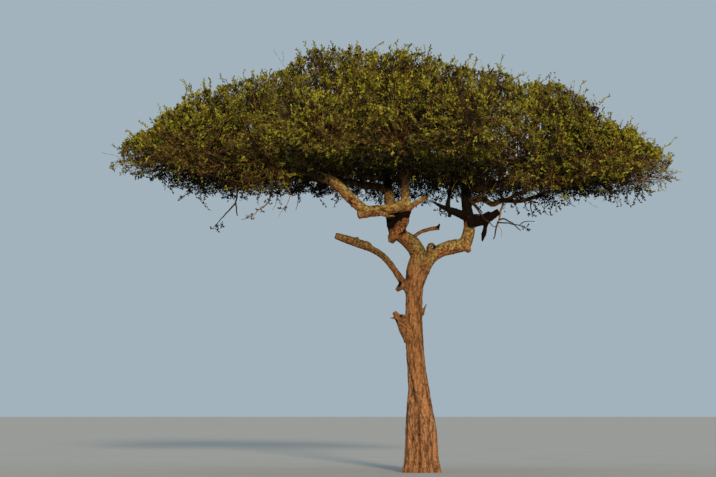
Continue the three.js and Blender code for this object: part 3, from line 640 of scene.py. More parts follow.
# %% The crown's space
CROWN_X, HALF_WIDTH, HALF_DEPTH = -0.575, 6.08, 5.4
CROWN_TOP, CROWN_RIM, CROWN_UNDER, UNDER_RISE = 8.77, 6.56, 5.78, 0.56
DOME_POWER, UNDER_POWER, CREST_WIDTH, CREST_FALL = 3, 4, 0.5, 0.16
SPACE_GAP, SKYLINE_GAP, MIDDLE_HEIGHT, TURN_SPREAD = 0.035, 0.03, 0.56, 7
REACH_LIMIT, REACH_STEP = 4.4, 0.04
RIM_WAVES = [(4, 0.03), (10, 0.02)]  # how many waves go round the rim, and how deep they are
EYE_X, EYE_DISTANCE, EYE_HEIGHT = -1.323, 60, 1.24  # where the camera stands
SKYLINE = [
    (-6.70, 6.45), (-6.41, 6.62), (-6.15, 6.93), (-5.90, 7.02), (-5.65, 7.22), (-5.42, 7.58),
    (-5.14, 7.62), (-4.93, 8.00), (-4.39, 8.06), (-3.88, 8.20), (-3.38, 8.35), (-2.88, 8.46),
    (-2.62, 8.64), (-2.42, 8.91), (-1.10, 8.96), (-0.86, 8.78), (-0.60, 8.92), (-0.10, 8.86),
    (0.40, 8.70), (0.90, 8.52), (1.41, 8.45), (1.66, 8.56), (1.91, 8.32), (2.16, 8.15), (2.45, 8.24),
    (2.95, 8.20), (3.42, 7.94), (3.68, 7.73), (3.93, 7.42), (4.18, 7.16), (4.43, 7.24), (4.70, 6.93),
    (4.95, 6.78), (5.20, 6.62), (5.50, 6.40),
]
LUMPS = [  # across, deep, height and width of the lumps that stand out of the dome
    (-2.28, -0.1, 0.42, 0.50), (-1.25, 0.0, 0.22, 0.50), (-0.50, 0.1, 0.28, 0.45),
    (-0.08, -0.1, 0.36, 0.42), (1.66, 0.0, 0.38, 0.36), (2.92, 0.0, 0.24, 0.45), (3.45, 0.0, 0.28, 0.40),
    (-4.60, 0.0, 0.15, 0.45),
]
RINGS = [  # name, share of the rim, first angle, shift across, then each mass's crest and sag
    ("top", 0.26, 90, -0.42, (0.29, 0.11, -0.17), (0, -0.30, -0.15)),
    ("middle", 0.57, 30, 0, (0, 0, 0, -0.17, 0, -0.25), (0.15, 0, -0.10, 0.11, -0.45, 0.08)),
    ("outer", 0.865, 0, 0, (-0.28, 0, 0, 0, 0, -0.06, 0.22, 0, 0.20, -0.09),
     (0.16, 0.08, 0, -0.10, 0.06, -0.10, 0, -0.35, -0.32, 0.05)),
]


def outwards(x, y):
    """How far out the places lie in plan, from 0 in the crown's middle to 1 at its rim."""
    across, deep = (x - CROWN_X) / HALF_WIDTH, y / HALF_DEPTH
    angle = np.arctan2(deep, across)
    rim = 1
    for waves, depth in RIM_WAVES:
        rim = rim - depth * (1 - np.cos(waves * angle)) / 2
    return np.hypot(across, deep) / rim


def top_of(out):
    return CROWN_RIM + (CROWN_TOP - CROWN_RIM) * (1 - out**DOME_POWER)


def lumps_at(x, y):
    return sum(height * np.exp(-((x - across) ** 2 + (y - deep) ** 2) / wide**2)
               for across, deep, height, wide in LUMPS)


def under_of(out):
    return CROWN_UNDER + UNDER_RISE * out**UNDER_POWER


def fall_of(p, middle):
    """How much lower a mass's crest lies over each point than over the mass's middle."""
    away = np.hypot(p[..., 0] - middle[..., 0], p[..., 1] - middle[..., 1])
    return CREST_FALL * np.maximum(0, away - CREST_WIDTH)


MASSES = []
for ring, share, turn, shift, crests, sags in RINGS:
    for k, (crest, sag) in enumerate(zip(crests, sags)):
        item = len(MASSES)
        aside = TURN_SPREAD * (float(scatter(item, MASS_PLACE)) - 0.5)
        angle = math.radians(turn + 360 * k / len(crests) + aside)
        x = CROWN_X + shift + share * HALF_WIDTH * math.cos(angle)
        y = share * HALF_DEPTH * math.sin(angle)
        low = under_of(outwards(x, y)) - sag
        high = top_of(outwards(x, y)) + crest
        middle = np.array([x, y, low + MIDDLE_HEIGHT * (high - low)])
        MASSES.append({"item": item, "place": "%s_%d" % (ring, k + 1), "middle": middle,
                       "crest": crest, "sag": sag})


def as_seen(p):
    """How far across and how high the camera sees the points, on the plane through the trunk."""
    nearer = EYE_DISTANCE / (EYE_DISTANCE + p[..., 1])
    return EYE_X + (p[..., 0] - EYE_X) * nearer, EYE_HEIGHT + (p[..., 2] - EYE_HEIGHT) * nearer


def under_skyline(p):
    """Which points lie below the crown's upper edge, as the camera sees them."""
    across, height = as_seen(p)
    return height < np.interp(across, *zip(*SKYLINE)) - SKYLINE_GAP


def skyline_height(x, y):
    """How high something at the places stands when the camera sees it on the skyline."""
    nearer = EYE_DISTANCE / (EYE_DISTANCE + y)
    edge = np.interp(EYE_X + (x - EYE_X) * nearer, *zip(*SKYLINE))
    return EYE_HEIGHT + (edge - EYE_HEIGHT) / nearer


def of_masses(key, items):
    """The middle or crest of each item's mass."""
    return np.array([mass[key] for mass in MASSES])[items]


def inside(mass, p):
    """Which of the points lie in the mass's own space."""
    x, y, z = p[..., 0], p[..., 1], p[..., 2]
    out = outwards(x, y)
    fall = fall_of(p, mass["middle"])
    free = (out < 1) & (z < top_of(out) + mass["crest"] + lumps_at(x, y) - fall) & under_skyline(p)
    free &= z > under_of(out) - mass["sag"] + fall / 2
    for other in MASSES:
        if other is mass:
            continue
        to = (other["middle"] - mass["middle"])[:2]
        apart = np.hypot(*to)
        along = ((x - mass["middle"][0]) * to[0] + (y - mass["middle"][1]) * to[1]) / apart
        free &= along < apart / 2 - SPACE_GAP
    return free


def reach(mass, ways):
    """How far one can go each way from the middle of the mass before leaving it."""
    runs = np.arange(0, REACH_LIMIT, REACH_STEP)
    outside = ~inside(mass, mass["middle"] + ways[:, None, :] * runs[None, :, None])
    outside[:, -1] = True
    return runs[np.maximum(np.argmax(outside, axis=1), 1) - 1]


print("masses of foliage", len(MASSES))

# %% [markdown]
# One bough carries each mass. It leaves its limb at a given share of the limb's length, sways a
# little to one side and rises to the foot of the mass. From there a stem goes on into the middle.
# The boughs are grown from discs like the limbs, with fewer sides, because they are thin and lie
# in the shade.

# %% The boughs
CARRIERS = {
    "top_1": ("back_riser", 1), "top_2": ("front_upright", 1), "top_3": ("right_upright", 1),
    "middle_1": ("right_upright", 0.8), "middle_2": ("back_riser", 0.86),
    "middle_3": ("back_riser", 0.72), "middle_4": ("left_limb", 1),
    "middle_5": ("front_upright", 0.8), "middle_6": ("right_long_bough", 1),
    "outer_1": ("right_long_bough", 0.74), "outer_2": ("right_upright", 0.7),
    "outer_3": ("right_upright", 0.9), "outer_4": ("back_riser", 0.94),
    "outer_5": ("back_riser", 0.6), "outer_6": ("left_limb", 0.84), "outer_7": ("left_limb", 0.62),
    "outer_8": ("front_upright", 0.62), "outer_9": ("front_upright", 0.92),
    "outer_10": ("right_long_bough", 0.5),
}
BOUGH_RISE, BOUGH_ARCH, BOUGH_SWAY, BOUGH_WAYS = 0.1, 0.02, 0.09, (0, 0.33, 0.7, 1)
STEM_SHARE, FOOT_SHARE, FOOT_LIFT = 0.55, 0.2, 0.12
BOUGH_FIT, THIN_BOUGH, THICKER_BY_SPAN, BOUGH_TIP, BOUGH_TAPER = 0.85, 0.032, 0.015, 0.022, 0.8
STEM_SAG, HEART_SAG = 0.1, 0.15
BOUGH_STEP, BOUGH_SIDES, FIRST_BOUGH = 0.085, 12, 20
BOUGH_BULGE, BULGES_FINENESS = 0.16, 5
WANDER, WANDER_FINENESS = 0.07, 1.7


def bough_points(mass):
    """The bough's course from its limb to the mass's foot, and its first radius."""
    limb, share = CARRIERS[mass["place"]]
    points, (first, *_, last) = LIMBS[limb]
    start = point_on(points, share)
    back = unit((start - mass["middle"]) * (1, 1, 0))
    foot = mass["middle"] + back * reach(mass, back[None])[0] * STEM_SHARE
    low = under_of(outwards(foot[0], foot[1]))
    foot[2] = low + FOOT_SHARE * (mass["middle"][2] - low) + FOOT_LIFT
    foot[2] = max(foot[2], start[2] + BOUGH_RISE * math.hypot(*(foot - start)[:2]))
    span = np.linalg.norm(foot - start)
    side = unit(np.array([start[1] - foot[1], foot[0] - start[0], 0]))
    sway = BOUGH_SWAY * span * (float(scatter(mass["item"], BOUGH_SIDE)) - 0.5)
    points = []
    for way in BOUGH_WAYS:
        bow = math.sin(math.pi * way)
        points.append(start + (foot - start) * way + side * sway * bow
                      + np.array([0, 0, BOUGH_ARCH * span * bow]))
    limb_radius = first + (last - first) * share
    return points, min(limb_radius * BOUGH_FIT, THIN_BOUGH + span * THICKER_BY_SPAN)


bough_pieces, bough_marks = [], []
for mass in MASSES:
    points, first = bough_points(mass)
    heart = mass["middle"] - np.array([0, 0, HEART_SAG])
    stem = (points[-1] + heart) / 2 - np.array([0, 0, STEM_SAG])
    samples, shares = course([*points, stem, heart], BOUGH_STEP)
    radii = first + (BOUGH_TIP - first) * shares**BOUGH_TAPER
    radii *= np.array([1 + BOUGH_BULGE * noise.noise(Vector(p) * BULGES_FINENESS) for p in samples])
    wander = np.array([noise.noise_vector(Vector(p) * WANDER_FINENESS) for p in samples])
    samples = samples + wander * WANDER * np.sin(np.pi * shares)[:, None]
    mass["spine"] = samples
    bough_pieces.append(grow("bough", samples, radii, BOUGH_SIDES))
    bough_marks.append((samples, radii, FIRST_BOUGH + mass["item"]))
boughs = join("boughs", bough_pieces)
shade_smooth([boughs])
carve(boughs, bough_marks, FURROW_DEPTH, BOUGH_SCALE_DEPTH)
print("boughs", len(bough_pieces), "with", len(boughs.data.polygons), "faces")

# %% [markdown]
# Below the crown hang dead branches without leaves, crooked and thin. They start on a bough or a
# limb and run down and sideways, fork here and there and end in fine broken tips. Each row has the
# place they start from, their course from there, and their first and last radius. The last value
# says whether the branch gets the paler colour of the lit copy; the others get a copy painted dark
# as shade.

# %% Hanging dead branches
LEFT_SHARE, RIGHT_SHARE = 0.52, 0.48  # where the two largest start on what bears them
DEAD_STEP, DEAD_SIDES, KINK, KINK_FINENESS, KINK_RUN_IN = 0.045, 8, 0.02, 9, 4
LEFT_BEARER = point_on(bough_points(next(m for m in MASSES if m["place"] == "outer_6"))[0], LEFT_SHARE)
RIGHT_BEARER = point_on(LIMBS["right_long_bough"][0], RIGHT_SHARE)
HERE = (0, 0, 0)
DEAD_BRANCHES = [
    (LEFT_BEARER, [(0, 0, -0.03), (-0.06, -0.02, -0.35), (-0.137, -0.04, -0.80), (-0.105, -0.05, -1.09)],
     0.030, 0.012, False),
    (LEFT_BEARER, [(-0.13, -0.04, -0.82), (-0.35, -0.06, -1.06), (-0.60, -0.08, -1.34)],
     0.019, 0.006, False),
    (RIGHT_BEARER, [(0, 0, -0.02), (-0.06, -0.03, -0.24), (-0.13, -0.05, -0.50)], 0.026, 0.018, True),
    (RIGHT_BEARER, [(-0.12, -0.045, -0.45), (-0.16, -0.06, -0.60), (-0.22, -0.07, -0.82)],
     0.020, 0.010, False),
    (RIGHT_BEARER, [(-0.11, -0.045, -0.41), (0.06, -0.06, -0.41), (0.35, -0.09, -0.64)],
     0.018, 0.009, False),
    (HERE, [(-3.11, -0.55, 6.10), (-3.17, -0.60, 5.65), (-3.38, -0.65, 5.46), (-3.54, -0.70, 5.30),
            (-3.74, -0.75, 5.25)], 0.022, 0.007, True),
    (HERE, [(-2.45, -0.50, 6.18), (-2.47, -0.53, 5.94), (-2.55, -0.57, 5.71), (-2.61, -0.60, 5.46)],
     0.018, 0.005, False),
    (HERE, [(-2.70, -0.60, 6.10), (-2.78, -0.63, 5.60), (-2.90, -0.67, 5.46), (-2.98, -0.70, 5.31)],
     0.012, 0.004, True),
    (HERE, [(-3.00, -0.70, 6.05), (-3.02, -0.82, 5.59), (-3.10, -0.85, 5.44)], 0.010, 0.004, True),
    (HERE, [(1.03, 0.02, 5.72), (1.26, -0.05, 5.80), (1.36, -0.08, 5.87), (1.53, -0.10, 5.92),
            (1.65, -0.08, 5.83), (1.74, -0.02, 5.71)], 0.034, 0.028, False),
    (HERE, [(1.00, 0.02, 5.74), (1.10, -0.11, 5.60), (1.21, -0.13, 5.47), (1.32, -0.14, 5.30)],
     0.028, 0.014, False),
    (HERE, [(1.08, -0.10, 5.66), (1.17, -0.17, 5.57), (1.29, -0.18, 5.43)], 0.022, 0.012, False),
    (HERE, [(1.62, -0.13, 5.23), (1.86, -0.17, 5.20), (2.09, -0.19, 5.15), (2.19, -0.20, 5.09)],
     0.016, 0.007, False),
    (HERE, [(2.05, -0.18, 5.16), (2.16, -0.20, 5.24), (2.38, -0.22, 5.26)], 0.011, 0.006, False),
    (HERE, [(1.58, -0.13, 5.20), (1.67, -0.14, 5.07), (1.67, -0.14, 4.91)], 0.007, 0.003, True),
    (HERE, [(1.32, -0.14, 5.30), (1.44, -0.12, 5.22), (1.53, -0.13, 5.14), (1.60, -0.14, 5.16)],
     0.014, 0.006, False),
    (HERE, [(2.27, -0.05, 5.74), (2.31, -0.05, 5.54), (2.34, -0.06, 5.35)], 0.018, 0.007, False),
    (HERE, [(0.40, -0.05, 5.60), (0.39, -0.07, 5.49), (0.48, -0.09, 5.41)], 0.018, 0.008, False),
    (HERE, [(0.84, -0.60, 6.50), (0.82, -0.65, 6.29), (0.73, -0.70, 6.08), (0.63, -0.75, 5.86)],
     0.020, 0.006, True),
    (HERE, [(0.82, -0.66, 6.29), (0.94, -0.69, 6.08), (1.00, -0.72, 5.89)], 0.013, 0.005, True),
    (HERE, [(-1.95, -0.60, 6.15), (-1.90, -0.70, 5.95), (-1.78, -0.75, 5.78), (-1.59, -0.80, 5.67)],
     0.013, 0.005, False),
    (HERE, [(-0.78, -0.30, 6.15), (-0.80, -0.40, 5.93), (-0.91, -0.45, 5.76), (-1.07, -0.50, 5.65)],
     0.013, 0.005, False),
    (HERE, [(2.80, -1.10, 6.10), (2.83, -1.20, 5.83), (2.95, -1.25, 5.62), (3.14, -1.30, 5.47)],
     0.013, 0.005, False),
    (HERE, [(3.66, -0.85, 6.30), (3.68, -0.90, 6.06), (3.80, -0.95, 5.81), (3.74, -1.00, 5.60)],
     0.013, 0.005, False),
]

dead_pieces = {True: [], False: []}
for start, points, first, last, is_lit_copy in DEAD_BRANCHES:
    samples, shares = course(np.array(points) + start, DEAD_STEP)
    kinks = np.array([noise.noise_vector(Vector(p) * KINK_FINENESS) for p in samples])
    samples = samples + kinks * KINK * np.minimum(1, shares * KINK_RUN_IN)[:, None]
    radii = first + (last - first) * shares
    dead_pieces[is_lit_copy].append(grow("dead_branch", samples, radii, DEAD_SIDES))
lit_dead_wood = join("lit_dead_branches", dead_pieces[True])
dead_branches = join("dead_branches", dead_pieces[False])
shade_smooth([lit_dead_wood, dead_branches])
print("lit_dead_wood", len(lit_dead_wood.data.polygons), "dull_tone_and_painted_shade", len(dead_branches.data.polygons), "faces")

# %% [markdown]
# Twigs come in levels. A rule grows the first level from the spine of each mass towards points all
# over its outside, then side twigs on those, then the short sprays that bear the leaves. Modelling
# tens of thousands of twigs with operators would take hours, so a level is computed at once with
# arrays. A branch is a curve from a start to a tip, which a bend between them draws aside. A tube's
# rings are laid round it.

# %% Tubes from arrays
SIDE_HINT = np.array([0.31, 0.17, 0.93])  # crossed with a twig's heading, it gives a side


def curve_points(start, bend, tip, steps):
    t = np.linspace(0, 1, steps)[None, :, None]
    return (1 - t) ** 2 * start[:, None] + 2 * t * (1 - t) * bend[:, None] + t**2 * tip[:, None]


def curve_at(start, bend, tip, share):
    t = share[:, None]
    place = (1 - t) ** 2 * start + 2 * t * (1 - t) * bend + t**2 * tip
    return place, unit(2 * (1 - t) * (bend - start) + 2 * t * (tip - bend))


def tubes(lines, radii, sides):
    """Vertices and triangles of pointed tubes along the lines, closed at their foot."""
    count, steps, _ = lines.shape
    way = unit(np.gradient(lines, axis=1))
    side = unit(np.cross(way, SIDE_HINT))
    across = np.cross(way, side)
    turn = np.arange(sides) * 2 * np.pi / sides
    ring = (side[:, :-1, None] * np.cos(turn)[None, None, :, None]
            + across[:, :-1, None] * np.sin(turn)[None, None, :, None])
    walls = lines[:, :-1, None] + ring * radii[:, :-1, None, None]
    vertices = np.concatenate([walls.reshape(count, -1, 3), lines[:, -1:]], axis=1)
    faces = []
    for k in range(steps - 2):
        for s in range(sides):
            a, b = k * sides + s, k * sides + (s + 1) % sides
            faces += [(a, b, b + sides), (a, b + sides, a + sides)]
    last = (steps - 2) * sides
    for s in range(sides):
        faces.append((last + s, last + (s + 1) % sides, (steps - 1) * sides))
    for s in range(1, sides - 1):
        faces.append((0, s + 1, s))
    faces = np.array(faces)
    offset = (np.arange(count) * vertices.shape[1])[:, None, None]
    return vertices.reshape(-1, 3), (faces[None] + offset).reshape(-1, 3)


def mesh_piece(name, vertices, triangles, smooth=False):
    data = bpy.data.meshes.new(name)
    data.vertices.add(len(vertices))
    data.vertices.foreach_set("co", vertices.astype(np.float32).ravel())
    data.loops.add(len(triangles) * 3)
    data.loops.foreach_set("vertex_index", triangles.astype(np.int32).ravel())
    data.polygons.add(len(triangles))
    data.polygons.foreach_set("loop_start", np.arange(0, len(triangles) * 3, 3, dtype=np.int32))
    data.polygons.foreach_set("use_smooth", np.full(len(triangles), smooth))
    data.update(calc_edges=True)
    piece = bpy.data.objects.new(name, data)
    bpy.context.collection.objects.link(piece)
    return piece


# %% [markdown]
# The first level gives a mass its lumpy outline. Its branches aim at directions spread evenly over
# a ball, by the golden angle, and stop at a varying share of the reach. Each starts on the outer
# part of the spine and turns upwards towards its tip, as branches do that look for light.

# %% First level of twigs
GOLDEN_ANGLE = math.pi * (3 - math.sqrt(5))
BRANCHES = {"top": 60, "middle": 48, "outer": 38}
MASS_IDS, MOST_TURN, AIM_SPREAD, BEND_SPREAD = 1000, 6, 0.12, 0.10
LEAST_REACH, REACH_SPREAD = 0.82, 0.15
FIRST_FOOT, FOOT_SPREAD, LOW_SPREAD, HIGH_SPREAD = 0.42, 0.58, 0.35, 0.65
BEND_SHARES = np.array([0.55, 0.55, 0.38])
BRANCH_POINTS, BRANCH_RADIUS, RADIUS_BY_LENGTH, BRANCH_TIP = 8, 0.008, 0.007, 0.3


def ball_directions(count, turn):
    k = np.arange(count)
    height = 1 - (2 * k + 1) / count
    wide = np.sqrt(1 - height**2)
    return np.stack([wide * np.cos(k * GOLDEN_ANGLE + turn), wide * np.sin(k * GOLDEN_ANGLE + turn),
                     height], axis=1)


def collect(lists, **parts):
    for key, part in parts.items():
        lists.setdefault(key, []).append(part)


def put_together(lists):
    return {key: np.concatenate(parts) for key, parts in lists.items()}


branches = {}
for mass in MASSES:
    count = BRANCHES[mass["place"].split("_")[0]]
    ids = mass["item"] * MASS_IDS + np.arange(count)
    ways = unit(ball_directions(count, MOST_TURN * float(scatter(mass["item"], MASS_AIM)))
                + AIM_SPREAD * scatter_vectors(ids, BRANCH_AIM))
    far = reach(mass, ways) * (LEAST_REACH + REACH_SPREAD * scatter(ids, BRANCH_REACH))
    tips = mass["middle"] + ways * far[:, None]
    height = (ways[:, 2] + 1) / 2
    where = FIRST_FOOT + FOOT_SPREAD * scatter(ids, BRANCH_FOOT) * (LOW_SPREAD + HIGH_SPREAD * height)
    spine = mass["spine"]
    starts = spine[np.minimum((where * len(spine)).astype(int), len(spine) - 1)]
    bends = starts + (tips - starts) * BEND_SHARES + BEND_SPREAD * scatter_vectors(ids, BRANCH_BEND)
    collect(branches, start=starts, bend=bends, tip=tips, mass=np.full(count, mass["item"]))
branches = put_together(branches)
branch_lines = curve_points(branches["start"], branches["bend"], branches["tip"], BRANCH_POINTS)
branch_length = np.linalg.norm(branches["tip"] - branches["start"], axis=1)
foot_radius = BRANCH_RADIUS + RADIUS_BY_LENGTH * branch_length
branch_radii = foot_radius[:, None] * np.linspace(1, BRANCH_TIP, BRANCH_POINTS)[None]
print("branches of the first level", len(branch_length))

# %% [markdown]
# Side twigs leave a branch all along its outer part, in every direction round it, and are drawn
# outwards and a little upwards. A twig that would leave its mass's space is shortened, up to three
# times.

# %% Second level of twigs
SIDE_TWIGS, TWIGS_FROM, TWIG_LENGTH, TWIG_TAPER = 10, 0.36, 0.50, 0.30
TWIG_TURNS = (0.55, 0.85, 0.35, 0.22)
ID_STEP, ID_RANGE = 1000003, 7919
PLACE_SPREAD, LAST_PLACE, LEAST_SIZE, SIZE_SPREAD, CHILD_BEND = 0.7, 0.3, 0.65, 0.7, 0.16
SHORTENINGS = (0.7, 0.7, 0.6)
TWIG_POINTS, TWIG_RADIUS, RADIUS_BY_SIZE, TWIG_TIP = 3, 0.003, 0.010, 0.45


def sprout(parent, per_parent, first_share, trait, turns, length, taper):
    """Children along each parent's curve: their start, bend, tip, mass and length.

    The turns say how much of a child's heading is along its parent, at random, outwards and up."""
    along_parent, aside, away, up = turns
    count = len(parent["tip"])
    ids = np.arange(count * per_parent) + trait * ID_STEP % ID_RANGE
    owner = np.repeat(np.arange(count), per_parent)
    order = np.tile(np.arange(per_parent), count)
    place = order + PLACE_SPREAD * scatter(ids, trait)
    share = np.minimum(first_share + (1 - first_share) * place / (per_parent - LAST_PLACE), 1)
    start, way = curve_at(parent["start"][owner], parent["bend"][owner], parent["tip"][owner], share)
    mass_of = parent["mass"][owner]
    outward = unit(start - of_masses("middle", mass_of))
    random = scatter_vectors(ids, trait + 1)
    random -= way * np.sum(random * way, axis=1, keepdims=True)
    heading = unit(way * along_parent + unit(random) * aside + outward * away + np.array([0, 0, up]))
    size = length * (LEAST_SIZE + SIZE_SPREAD * scatter(ids, trait + 4)) * (1 - taper * share)
    for mass in MASSES:
        mine = mass_of == mass["item"]
        for shorter in SHORTENINGS:
            leaves_space = ~inside(mass, (start + heading * size[:, None])[mine])
            size[np.flatnonzero(mine)[leaves_space]] *= shorter
    tip = start + heading * size[:, None]
    bend = start + heading * (size / 2)[:, None]
    bend += CHILD_BEND * size[:, None] * scatter_vectors(ids, trait + 5)
    return {"start": start, "bend": bend, "tip": tip, "mass": mass_of, "size": size}


twigs = sprout(branches, SIDE_TWIGS, TWIGS_FROM, TWIG_TRAITS, TWIG_TURNS, TWIG_LENGTH, TWIG_TAPER)
twig_lines = curve_points(twigs["start"], twigs["bend"], twigs["tip"], TWIG_POINTS)
twig_radii = TWIG_RADIUS + RADIUS_BY_SIZE * twigs["size"]
twig_radii = twig_radii[:, None] * np.linspace(1, TWIG_TIP, TWIG_POINTS)[None]
print("side twigs", len(twigs["tip"]))

# %% [markdown]
# What becomes of a spray depends on its light, so three rules find out where it hangs: in one of the
# hollows between the lumps, which look dark from the camera and get painted shade, in the gap
# through which the low sun reaches the left limb, where no spray is kept, or in the shade under the
# crown, whose front line a few points give, where leaves and twigs get painted shade.

# %% Hollows, gap and shade
SHADE_FROM = [  # the front line of the shade, across and deep
    (-6.5, -2.0), (-2.7, -1.6), (-2.1, -2.4), (-0.7, -5.0), (-0.1, -3.0), (0.35, -1.2),
    (0.6, -0.9), (1.0, -1.0), (1.3, -2.6), (1.7, -1.6), (3.0, -1.3), (5.6, -0.9),
]
# Places whose sprays get painted shade in their tints.
HOLLOWS = [  # across and up, as the camera sees them, with half their width and height
    (-2.06, 8.58, 0.36, 0.26), (-0.55, 8.52, 0.60, 0.16), (0.61, 8.36, 0.38, 0.20),
    (-4.41, 7.75, 0.30, 0.19), (-2.75, 7.73, 0.30, 0.17), (1.62, 7.98, 0.22, 0.32),
    (3.05, 7.61, 0.50, 0.18), (0.23, 7.94, 0.24, 0.18), (-4.26, 6.66, 0.22, 0.50),
    (1.91, 6.56, 0.34, 0.38),
]
HOLLOW_EDGE = 1.4
SUN_WAY = np.array([-0.104, 0.99, -0.125])  # the way the sunlight runs
SUNLIT_SPAN, SUNLIT_POINTS, SUNLIT_GAP, GAP_FROM = (0.30, 0.80), 14, 0.13, 0.2
SHADE_TOP, SHADE_TOP_SPREAD, SHADE_RIM, SHADE_RIM_SPREAD, SHADE_WAVER = 0.66, 0.36, 0.89, 0.10, 0.8


def hollowness(tips):
    """How deep in one of the dark hollows between the lumps the tips seem to hang, which sets their painted
    shade.
    """
    across, height = as_seen(tips)
    off = [np.hypot((across - x) / wide, (height - z) / high) for x, z, wide, high in HOLLOWS]
    return np.clip(HOLLOW_EDGE - np.min(off, axis=0), 0, 1)


def sunny_gap(tips):
    """Which tips hang in the gap through which the low sun reaches the left limb."""
    back = -unit(SUN_WAY)
    gap = np.zeros(len(tips), dtype=bool)
    for share in np.linspace(*SUNLIT_SPAN, SUNLIT_POINTS):
        off = tips - point_on(LIMBS["left_limb"][0], share)
        along = off @ back
        gap |= (along > GAP_FROM) & (np.linalg.norm(off - along[:, None] * back, axis=1) < SUNLIT_GAP)
    return gap


def in_shade(tips, lot):
    """Which tips hang in the shade under the crown, to be painted dark. The sun reaches in further at both
    ends.
    """
    out = outwards(tips[:, 0], tips[:, 1])
    deep = tips[:, 2] - under_of(out) < SHADE_TOP - SHADE_TOP_SPREAD * lot
    front = np.interp(tips[:, 0], *zip(*SHADE_FROM)) + SHADE_WAVER * (lot - 0.5)
    return deep & (out < SHADE_RIM - SHADE_RIM_SPREAD * lot) & (tips[:, 1] > front)


print("dark hollows", len(HOLLOWS))

# %% [markdown]
# The last level are the sprays, as long as a hand. They reach outwards and upwards, so the crown
# looks brushed from the side. The lumps on top get more of them. Only few grow deep inside, where
# there is no light.

# %% Sprays
SPRAYS, SPRAYS_FROM, SPRAY_LENGTH, SPRAY_TAPER = 7, 0.15, 0.20, 0.1
SPRAY_TURNS, SPRAY_RADIUS = (0.35, 0.60, 0.45, 0.40), 0.0036
CREST_SPRAYS, CREST_LENGTH, CREST_SPREAD, CREST_LIFT = 150, 0.18, 1.1, np.array([0, 0, 0.7])
CREST_GAP, CREST_DEPTH, FIRST_CREST, LUMP_IDS = 0.10, 0.56, 5000, 200
LIT_DEPTH, BURIED_SHARE = 0.75, 0.35

sprays = sprout(twigs, SPRAYS, SPRAYS_FROM, SPRAY_TRAITS, SPRAY_TURNS, SPRAY_LENGTH, SPRAY_TAPER)
for number, (across, deep, _, wide) in enumerate(LUMPS):
    ids = FIRST_CREST + LUMP_IDS * number + np.arange(CREST_SPRAYS)
    aside = scatter_vectors(ids, CREST_PLACE) * (CREST_SPREAD * wide, CREST_SPREAD * wide, 0)
    start = np.array([across, deep, 0]) + aside
    start[:, 2] = skyline_height(start[:, 0], start[:, 1]) - CREST_GAP
    start[:, 2] -= CREST_DEPTH * scatter(ids, CREST_DROP)
    tip = start + CREST_LENGTH * unit(scatter_vectors(ids, CREST_AIM) + CREST_LIFT)
    near = min(MASSES, key=lambda m: math.hypot(m["middle"][0] - across, m["middle"][1] - deep))
    extra = {"start": start, "bend": (start + tip) / 2, "tip": tip, "mass": np.full(len(ids), near["item"])}
    below = under_skyline(tip)
    sprays = {key: np.concatenate([sprays[key], value[below]]) for key, value in extra.items()}
tips = sprays["tip"]
spray_out = outwards(tips[:, 0], tips[:, 1])
fall = fall_of(tips, of_masses("middle", sprays["mass"]))
top = top_of(spray_out) + of_masses("crest", sprays["mass"]) + lumps_at(tips[:, 0], tips[:, 1])
within = np.minimum(top - fall - tips[:, 2], (1 - spray_out) * HALF_DEPTH)
height_above = tips[:, 2] - under_of(spray_out)
lit = np.minimum(within, height_above) < LIT_DEPTH
kept = scatter(np.arange(len(tips)), SPRAY_KEPT) < np.where(lit, 1, BURIED_SHARE)
kept &= ~sunny_gap(tips)
sprays = {key: value[kept] for key, value in sprays.items()}
tips, spray_out, height_above, within = tips[kept], spray_out[kept], height_above[kept], within[kept]
spray_lines = curve_points(sprays["start"], sprays["bend"], sprays["tip"], 2)
spray_radii = np.full((len(tips), 2), SPRAY_RADIUS)
print("sprays", len(tips))

# %% [markdown]
# Not every spray bears leaves. On the lower third, where animals browse, many are bare and the wood
# shows brown between the leaves, and so they are at both ends of the crown, where the sky shows
# through. A slow noise thins them out in places, which leaves dark hollows between the lumps.

# %% Sprays with leaves
HOLLOWS_FINENESS, ENDS_FROM, ENDS_RUN, INNER_RIM, INNER_RUN = 1.7, 3.4, 1.6, 0.86, 0.1
LEFT_PART, LEAST_LEFT, LEAST_RIGHT = 0.5, 0.34, 0.24
FOOT_CHANCE, INNER_LOSS, CHANCE_RISE, INNER_RISE, ENDS_LOSS = 0.38, 0.18, 0.80, 0.20, 0.45
EDGE_CHANCE, EDGE_RISE, EDGE_DEPTH = 0.40, 0.60, 0.22
OPEN_CHANCE, OPEN_RISE, OPEN_LEAST = 1.1, 0.9, 0.45

spray_ids = np.arange(len(tips))
hollows = np.array([noise.noise(Vector(p) * HOLLOWS_FINENESS) for p in tips])
ends = np.clip((np.abs(tips[:, 0] - CROWN_X) - ENDS_FROM) / ENDS_RUN, 0, 1) * np.clip(1 - height_above, 0, 1)
inner = np.clip((INNER_RIM - spray_out) / INNER_RUN, 0, 1)
least = np.where(tips[:, 0] < LEFT_PART, LEAST_LEFT, LEAST_RIGHT)
chance = FOOT_CHANCE - INNER_LOSS * inner + (CHANCE_RISE + INNER_RISE * inner) * height_above
chance = np.clip(chance, least, 1) * (1 - ENDS_LOSS * ends)
chance *= EDGE_CHANCE + EDGE_RISE * np.clip(within / EDGE_DEPTH, 0, 1)
chance *= np.clip(OPEN_CHANCE + OPEN_RISE * hollows, OPEN_LEAST, 1)
leafy = scatter(spray_ids, SPRAY_LEAFY) < chance
lot = scatter(spray_ids, SPRAY_LOT)
painted_shade_sprays = in_shade(tips, lot)
print("sprays with leaves", int(leafy.sum()))

# %% [markdown]
# Along the crown's upper outline, long thin shoots of the last season stand out, nearly upright and
# with few leaves. They make the edge against the sky feathery instead of smooth. Below, loose ends
# hang from the browsed underside in the same way. Directions that end at a neighbour are left out.
# The largest sprigs stand or hang at chosen places, and a few tufts sit on the dead branches.

